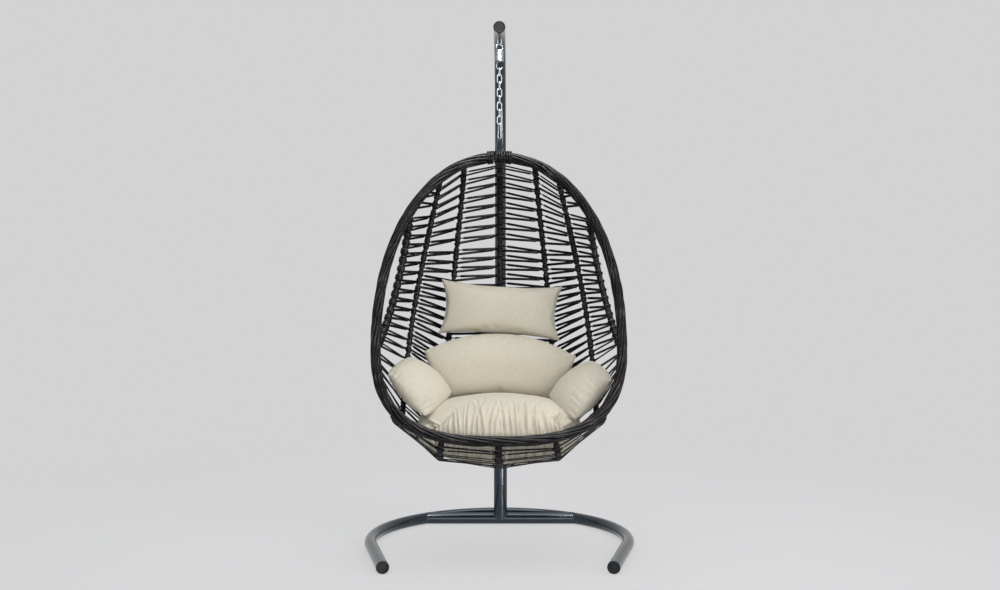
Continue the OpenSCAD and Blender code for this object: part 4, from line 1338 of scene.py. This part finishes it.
    def run_lines(
        self, lines: Lines, i: int, span: tuple[float, float], pitch: float, side: Turn, ease: float
    ) -> None:
        """Adds one run of strand to and fro between a rail and the next.

        Its pairs of legs meet at their right end on both sides of the chair.

        Args:
            lines: The set that gets the run.
            i: The inner rail.
            span: Shares of the rails' length where the run begins and ends.
            pitch: Distance from pair to pair, in millimetres.
            side: The side of the chair.
            ease: Below one, the pairs stand closer together towards the end.
        """
        start, end = span
        rng = random.Random(97 * i + int(1000 * start) + 7 * side.value)
        whole = self.shape.ribs[i].length
        count = max(1, round((end - start) * whole / pitch))
        marks = [start + (end - start) * (k / count) ** ease for k in range(count + 1)]
        climb, turn = self.climb / whole, self.short_turn / whole
        wide, tight = (i, i + 1) if side is Turn.RIGHT else (i + 1, i)
        from_wide = 1 if wide == i else -1
        points, lies = self.turn_round(wide, start - turn, start, from_wide, 1)
        for k in range(count):
            last = k == count - 1
            g, step = marks[k], marks[k + 1] - marks[k]
            up = g + climb * rng.uniform(0.8, 1.2)
            back = g + step * rng.uniform(0.52, 0.6)
            after = g + step if not last else back + turn
            loops = 1 if last else 3
            self.cross(points, lies, self.turn_round(tight, up, up + turn, -from_wide, 1))
            self.cross(points, lies, self.turn_round(wide, back, after, from_wide, loops))
        lines.add(points, lies)

    @staticmethod
    def cross(
        points: list[np.ndarray], lies: list[np.ndarray], arrival: tuple[list, list]
    ) -> None:
        """Takes the strand straight across a bay to its next turn.

        Args:
            points: The run so far, which grows.
            lies: Its outward directions, which grow.
            arrival: The turn on the other rail.
        """
        a, b = points[-1], arrival[0][0]
        skin = unit(np.cross(b - a, np.cross(arrival[1][0] + lies[-1], b - a)))
        for t in (0.12, 0.5, 0.88):
            points.append(a + (b - a) * t)
            lies.append(skin)
        points += arrival[0]
        lies += arrival[1]

    def bay_lines(self, i: int, side: Turn) -> Lines:
        """Draws the strands of a bay, on the right.

        Args:
            i: The bay's inner rail.
            side: The side of the chair that they are for.

        Returns:
            The strands.
        """
        runs = self.outer_runs
        if i < 2:
            runs = [(self.inner_runs[k], self.inner_runs[k + 1] - 0.004) for k in range(4)]
        lines = Lines()
        for k, span in enumerate(runs):
            ease = self.foot_ease if i == 2 and k == len(runs) - 1 else 1.0
            self.run_lines(lines, i, span, self.pitches[i // 2][k], side, ease)
        return lines


# -------------------------------------------------------------- cushions


class Edge(Enum):
    """A side of a cushion in its own plane."""

    LEFT = (0, -1)
    RIGHT = (0, 1)
    LOW = (1, -1)
    HIGH = (1, 1)


@dataclass(frozen=True)
class Gathers:
    """Folds that run in from one side's seam."""

    edge: Edge
    spacing: float
    depth: float
    reach: float
    seed: int
    lean: float = 0.12


@dataclass
class Cushion:
    """A stuffed cushion: two panels of canvas sewn round their edge."""

    name: str
    size: tuple[float, float, float]
    at: tuple[float, float, float]
    turn: Matrix
    draw: float = 0.03
    oval: float = 0.0
    droop: float = 0.0
    wrap: float = 0.0
    taper: float = 0.0
    cell: float = 7.0
    swell: float = 12.0
    fill: float = 0.7
    gathers: tuple[Gathers, ...] = ()
    mirror: bool = False
    full: float = 0.55
    cloth_scale: float = 1.12
    frames: int = 20
    panel: list[tuple[float, float]] = field(default_factory=list)

    def outline(self, u: float, v: float) -> tuple[float, float]:
        """Returns the place of a point of the square panel in the sewn outline."""
        share = max(abs(u), abs(v))
        if share < 1e-9:
            return 0.0, 0.0
        p, q = u / share, v / share
        pillow = (p * (1 - self.draw * (1 - q * q)), q * (1 - self.draw * (1 - p * p)))
        disc = (p * math.sqrt(1 - q * q / 2), q * math.sqrt(1 - p * p / 2))
        return (
            share * mix(pillow[0], disc[0], self.oval),
            share * mix(pillow[1], disc[1], self.oval),
        )

    def crown(self, u: float, v: float) -> float:
        """Returns the share of the half thickness at a point of the panel."""
        a = max(0.0, 1 - abs(u) ** 2.4)
        b = max(0.0, 1 - abs(v) ** 2.4)
        return (a * b) ** self.full

    def fold(self, u: float, v: float, folds: dict[Gathers, list[tuple]]) -> float:
        """Returns how far the folds move the cloth at a point of the panel."""
        total = 0.0
        half = (self.size[0] / 2, self.size[1] / 2)
        for gather, creases in folds.items():
            axis, way = gather.edge.value
            depth_in = (1 - way * (u, v)[axis]) * half[axis]
            if depth_in > 3 * gather.reach:
                continue
            along = (v, u)[axis] * half[1 - axis]
            for place, wide, deep, reach, lean in creases:
                x = (along - place - lean * depth_in) / wide
                if abs(x) < 3:
                    fade = math.exp(-((depth_in / reach) ** 1.6))
                    rise = min(1.0, (depth_in + 3.0) / 14.0)
                    total += deep * (2 * x * x - 1) * math.exp(-x * x) * fade * rise
        return total

    def folds(self) -> dict[Gathers, list[tuple]]:
        """Returns the creases of each side: place, width, depth, reach and lean."""
        made = {}
        for gather in self.gathers:
            rng = random.Random(gather.seed)
            axis, _ = gather.edge.value
            half = self.size[1 - axis] / 2
            creases, place = [], -half
            while place < half:
                wide = gather.spacing * rng.uniform(0.17, 0.36)
                deep = gather.depth * rng.uniform(0.45, 1.15)
                reach = gather.reach * rng.uniform(0.3, 1.3)
                creases.append((place, wide, deep, reach, gather.lean * rng.uniform(-1.0, 1.0)))
                place += gather.spacing * rng.uniform(0.55, 1.45)
            made[gather] = creases
        return made

    def build(self, shop: Workshop) -> bpy.types.Object:
        """Makes the cushion and sets it in the basket.

        Args:
            shop: The workshop.

        Returns:
            The cushion.
        """
        piece = self.sewn()
        self.stuff(piece)
        self.crease(piece)
        self.finish(piece, shop)
        return piece

    def sewn(self) -> bpy.types.Object:
        """Makes the two panels, sewn round their edge and softly filled."""
        wide, tall = (max(8, round(length / self.cell)) for length in self.size[:2])
        body = bmesh.new()
        grid = {}
        self.panel.clear()
        for face in (1, -1):
            for i in range(wide + 1):
                for j in range(tall + 1):
                    rim = i in (0, wide) or j in (0, tall)
                    if rim and face < 0:
                        grid[(-1, i, j)] = grid[(1, i, j)]
                        continue
                    u, v = self.crowded(2 * i / wide - 1), self.crowded(2 * j / tall - 1)
                    self.panel.append((0.0, 0.0) if rim else (u, v))
                    grid[(face, i, j)] = body.verts.new(self.filled(u, v, face))
        cloth = body.loops.layers.uv.new("cloth")
        for face in (1, -1):
            for i in range(wide):
                for j in range(tall):
                    corners = [(i, j), (i + 1, j), (i + 1, j + 1), (i, j + 1)][::face]
                    made = body.faces.new([grid[(face, a, b)] for a, b in corners])
                    for loop, (a, b) in zip(made.loops, corners):
                        loop[cloth].uv = (
                            (a / wide - 0.5) * self.size[0] * MM * self.cloth_scale,
                            (b / tall - 0.5) * self.size[1] * MM * self.cloth_scale + (face < 0),
                        )
        mesh = bpy.data.meshes.new(self.name)
        body.to_mesh(mesh)
        body.free()
        mesh.transform(self.matrix())
        if self.mirror:
            mesh.flip_normals()
        return new_object(self.name, mesh)

    @staticmethod
    def crowded(t: float) -> float:
        """Returns where a grid line from -1 to 1 goes, drawn towards the seams."""
        return math.sin(math.pi / 2 * t) * 0.35 + t * 0.65

    def filled(self, u: float, v: float, face: int) -> tuple[float, float, float]:
        """Returns a point of the softly filled cover in the cushion's own axes.

        Args:
            u: The point's place across the panel, from -1 to 1.
            v: Its place up the panel, from -1 to 1.
            face: 1 for the outer panel and -1 for the inner one.

        Returns:
            The point, in millimetres.
        """
        x, y = self.outline(u, v)
        z = face * self.crown(u, v)
        return (
            x * (1 - self.taper * y) * self.size[0] / 2,
            y * self.size[1] / 2 - self.droop * x * x * (1 + y) / 2,
            z * self.size[2] / 2 + self.wrap * x * x,
        )

    def crease(self, piece: bpy.types.Object) -> None:
        """Presses the folds into the filled cover.

        Args:
            piece: The cover.
        """
        folds = self.folds()
        mesh = piece.data
        for vert, normal, (u, v) in zip(mesh.vertices, mesh.vertex_normals, self.panel):
            if folds and (u, v) != (0.0, 0.0):
                vert.co += normal.vector * self.fold(u, v, folds) * MM
        mesh.update()

    def matrix(self) -> Matrix:
        """Returns the way from the cushion's own axes to the chair's, in metres."""
        place = Matrix.Translation((self.at[0], HANG_Y + self.at[1], TOP_Z + self.at[2]))
        side = Matrix.Scale(-1, 4, (1, 0, 0)) if self.mirror else Matrix.Identity(4)
        return Matrix.Scale(MM, 4) @ BASKET_TIP.matrix() @ side @ place @ self.turn

    def stuff(self, piece: bpy.types.Object) -> None:
        """Fills the cover by a cloth simulation, and keeps its result.

        Args:
            piece: The sewn cover.
        """
        start = np.zeros(len(piece.data.vertices) * 3, np.float32)
        piece.data.vertices.foreach_get("co", start)
        cloth = piece.modifiers.new("cloth", "CLOTH")
        settings = cloth.settings
        settings.quality = 5
        settings.mass = 0.25
        settings.tension_stiffness = 18
        settings.compression_stiffness = 18
        settings.shear_stiffness = 8
        settings.bending_stiffness = 0.4
        settings.use_pressure = True
        settings.uniform_pressure_force = 3.5
        settings.shrink_min = -0.035
        settings.effector_weights.gravity = 0
        cloth.collision_settings.use_collision = False
        cloth.point_cache.frame_start = 1
        cloth.point_cache.frame_end = self.frames
        scene = bpy.context.scene
        for frame in range(1, self.frames + 1):
            scene.frame_set(frame)
        swollen = np.zeros(len(start), np.float32)
        evaluated(piece).data.vertices.foreach_get("co", swollen)
        piece.modifiers.remove(cloth)
        scene.frame_set(1)
        move = (swollen - start).reshape(-1, 3)
        far = np.linalg.norm(move, axis=1)
        cap = self.swell * MM
        held = np.where(far > 1e-9, cap * np.tanh(far / cap) / np.maximum(far, 1e-9), 1.0)
        result = start.reshape(-1, 3) + move * held[:, None]
        piece.data.vertices.foreach_set("co", result.astype(np.float32).ravel())
        piece.data.update()
        log.info("%s swelled by up to %.1f mm", self.name, 1000 * float((far * held).max()))

    def finish(self, piece: bpy.types.Object, shop: Workshop) -> None:
        """Smooths, dresses and places the cushion.

        Args:
            piece: The filled cover.
            shop: The workshop.
        """
        smooth = piece.modifiers.new("smooth", "SUBSURF")
        smooth.levels = smooth.render_levels = 1
        mesh = bpy.data.meshes.new_from_object(evaluated(piece))
        piece.modifiers.remove(smooth)
        piece.data = mesh
        mesh.shade_smooth()
        mesh.materials.clear()
        mesh.materials.append(shop.finishes.canvas)
        shop.place(piece, "basket", (self.name.replace("_cover", ""),))


def turn_matrix(*turns: tuple[str, float]) -> Matrix:
    """Multiplies turns about the axes, the first one outermost."""
    made = Matrix.Identity(4)
    for axis, degrees in turns:
        made = made @ Matrix.Rotation(math.radians(degrees), 4, axis)
    return made


def cushions() -> list[Cushion]:
    """Returns the five cushions."""
    arm = {
        "size": (230, 226, 106),
        "turn": turn_matrix(("Z", 8), ("Y", 137), ("Z", 90), ("Y", 21)),
        "draw": 0.03,
        "oval": 0.42,
        "taper": 0.14,
        "fill": 0.65,
    }
    return [
        Cushion(
            "seat_cushion_cover", (600, 400, 226), (0, -82, -1008), turn_matrix(("X", 4)),
            draw=0.02, oval=0.7, fill=0.8, cell=4.8, full=0.42,
            gathers=(
                Gathers(Edge.LOW, 25, 19.0, 84, 21, 0.3),
                Gathers(Edge.LEFT, 28, 6.5, 55, 22),
                Gathers(Edge.RIGHT, 28, 6.5, 55, 23),
                Gathers(Edge.HIGH, 40, 3.0, 40, 24),
            ),
        ),
        Cushion(
            "back_cushion_cover", (590, 290, 130), (0, 126.7, -805.7),
            turn_matrix(("Y", 2), ("X", 94)),
            draw=0.06, oval=0.1, droop=75, wrap=55, fill=0.7,
            gathers=(
                Gathers(Edge.HIGH, 46, 1.6, 26, 31),
                Gathers(Edge.LEFT, 40, 2.2, 36, 32),
                Gathers(Edge.RIGHT, 40, 2.2, 36, 33),
            ),
        ),
        Cushion(
            "head_pillow_cover", (474, 218, 110), (2, 172.5, -583.4),
            turn_matrix(("Y", 3.5), ("X", 86)), draw=0.05, wrap=12, fill=0.65,
            gathers=(
                Gathers(Edge.LOW, 20, 3.0, 20, 41),
                Gathers(Edge.HIGH, 44, 1.2, 18, 42),
                Gathers(Edge.LEFT, 30, 1.6, 24, 43),
                Gathers(Edge.RIGHT, 30, 1.8, 26, 44),
            ),
        ),
        Cushion(
            "arm_cushion_right_cover", at=(303, -86, -860),
            gathers=(Gathers(Edge.LEFT, 20, 6.0, 46, 51), Gathers(Edge.HIGH, 24, 3.0, 30, 52)),
            **arm,
        ),
        Cushion(
            "arm_cushion_left_cover", at=(297, -86, -846),
            gathers=(Gathers(Edge.LEFT, 20, 5.5, 42, 61), Gathers(Edge.HIGH, 20, 4.5, 40, 62)),
            mirror=True,
            **arm,
        ),
    ]


# ---------------------------------------------------------------- studio


@dataclass
class Studio:
    """Camera, floor and lights."""

    lens: float = 41.4
    camera_at: tuple[float, float, float] = (0.045, -4.381, 1.001)
    shift: tuple[float, float] = (-0.0114, -0.015)
    backdrop: str = "d3d3d4"
    floor: str = "ececed"
    floor_radius: float = 3.4
    room_light: float = 0.5

    def build(self) -> None:
        """Sets up the studio."""
        self.camera()
        self.make_floor()
        self.world()
        self.lamp("key", (-2.4, -3.2, 3.6), (0, 0, 0.9), (2.6, 2.6), 40)
        self.lamp("fill", (3.2, -3.0, 2.4), (0, 0, 0.9), (2.2, 2.2), 98)
        self.lamp("top", (0.2, 0.6, 4.6), (0, 0, 0.6), (3.0, 3.0), 86)
        self.lamp("low", (0.2, -3.0, 0.2), (0, 0, 0.45), (1.8, 0.8), 16)
        self.lamp("gleam", (2.2, -3.0, 0.35), (0, 0, 0.35), (1.5, 1.9), 150, False)
        self.lamp("gleam_top", (0.0, -0.9, 3.3), (0, 0, 0), (1.4, 0.7), 190, False)
        bpy.context.scene.view_settings.view_transform = "Standard"

    def camera(self) -> None:
        """Sets a level camera in front of the chair."""
        data = bpy.data.cameras.new("camera")
        data.lens = self.lens
        data.sensor_width = 36
        data.shift_x, data.shift_y = self.shift
        made = new_object("camera", data)
        made.location = self.camera_at
        made.rotation_euler = (math.pi / 2, 0, 0)
        bpy.context.scene.camera = made

    def make_floor(self) -> None:
        """Makes a pale floor that fades into the backdrop."""
        mesh = bpy.data.meshes.new("floor")
        body = bmesh.new()
        bmesh.ops.create_grid(body, x_segments=2, y_segments=2, size=6)
        body.to_mesh(mesh)
        body.free()
        material, shader, place = start_material("studio_floor")
        tree = material.node_tree
        look = {"Base Color": colour(self.floor), "Roughness": 0.9, "Specular IOR Level": 0.1}
        feed(shader, look)
        away = add_node(tree, "ShaderNodeVectorMath", {0: place}, operation="LENGTH")
        reach = {"From Min": 0.75, "From Max": self.floor_radius, "To Min": 0.2, "To Max": 0.0}
        fade = add_node(
            tree,
            MAP_RANGE,
            {"Value": away.outputs["Value"], **reach},
            interpolation_type="SMOOTHSTEP",
        )
        clear = add_node(tree, "ShaderNodeBsdfTransparent")
        blend = add_node(tree, MIX_SHADER, {0: fade, 1: clear, 2: shader})
        ending = next(n for n in tree.nodes if n.type == "OUTPUT_MATERIAL")
        feed(ending, {"Surface": blend})
        mesh.materials.append(material)
        made = new_object("floor", mesh)

    def world(self) -> None:
        """Lights the room softly and shows a plain backdrop behind the chair."""
        world = bpy.data.worlds.new("studio")
        world.use_nodes = True
        tree = world.node_tree
        tree.nodes.clear()
        path = add_node(tree, "ShaderNodeLightPath")
        dim = {"Color": colour("e8ecf0"), "Strength": self.room_light}
        room = add_node(tree, BACKGROUND, dim)
        seen = add_node(tree, BACKGROUND, {"Color": colour(self.backdrop), "Strength": 1.0})
        rays = path.outputs["Is Camera Ray"]
        for kind in ("Is Transmission Ray", "Is Glossy Ray"):
            rays = add_node(tree, MATHS, {0: rays, 1: path.outputs[kind]}, operation="MAXIMUM")
        blend = add_node(tree, MIX_SHADER, {0: rays, 1: room, 2: seen})
        add_node(tree, "ShaderNodeOutputWorld", {"Surface": blend})
        bpy.context.scene.world = world

    @staticmethod
    def lamp(
        name: str,
        at: tuple[float, float, float],
        aim: tuple[float, float, float],
        size: tuple[float, float],
        power: float,
        soft: bool = True,
    ) -> None:
        """Adds a lamp with a soft flat face.

        Args:
            name: The lamp's name.
            at: Its place.
            aim: The point that it faces.
            size: Its width and height.
            power: Its power in watts.
            soft: Whether it lights matt surfaces too, and not gloss alone.
        """
        data = bpy.data.lights.new(name, "AREA")
        data.shape = "RECTANGLE"
        data.size, data.size_y = size
        data.energy = power
        made = new_object(name, data)
        made.location = at
        made.rotation_mode = "QUATERNION"
        made.rotation_quaternion = (Vector(aim) - Vector(at)).to_track_quat("-Z", "Y")
        made.visible_diffuse = soft
        made.visible_camera = False


# ------------------------------------------------------------------ main


def main() -> None:
    """Builds the chair's looks."""
    logging.basicConfig(level=logging.INFO, format="%(message)s")
    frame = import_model()
    Studio().build()
    shop = Workshop(frame)
    Stand(shop).build()
    Suspension(shop).build()
    shape = BasketShape()
    Hoops(shop, shape).build()
    Cage(shop, shape).build()
    for cushion in cushions():
        cushion.build(shop)


if __name__ == "__main__":
    main()
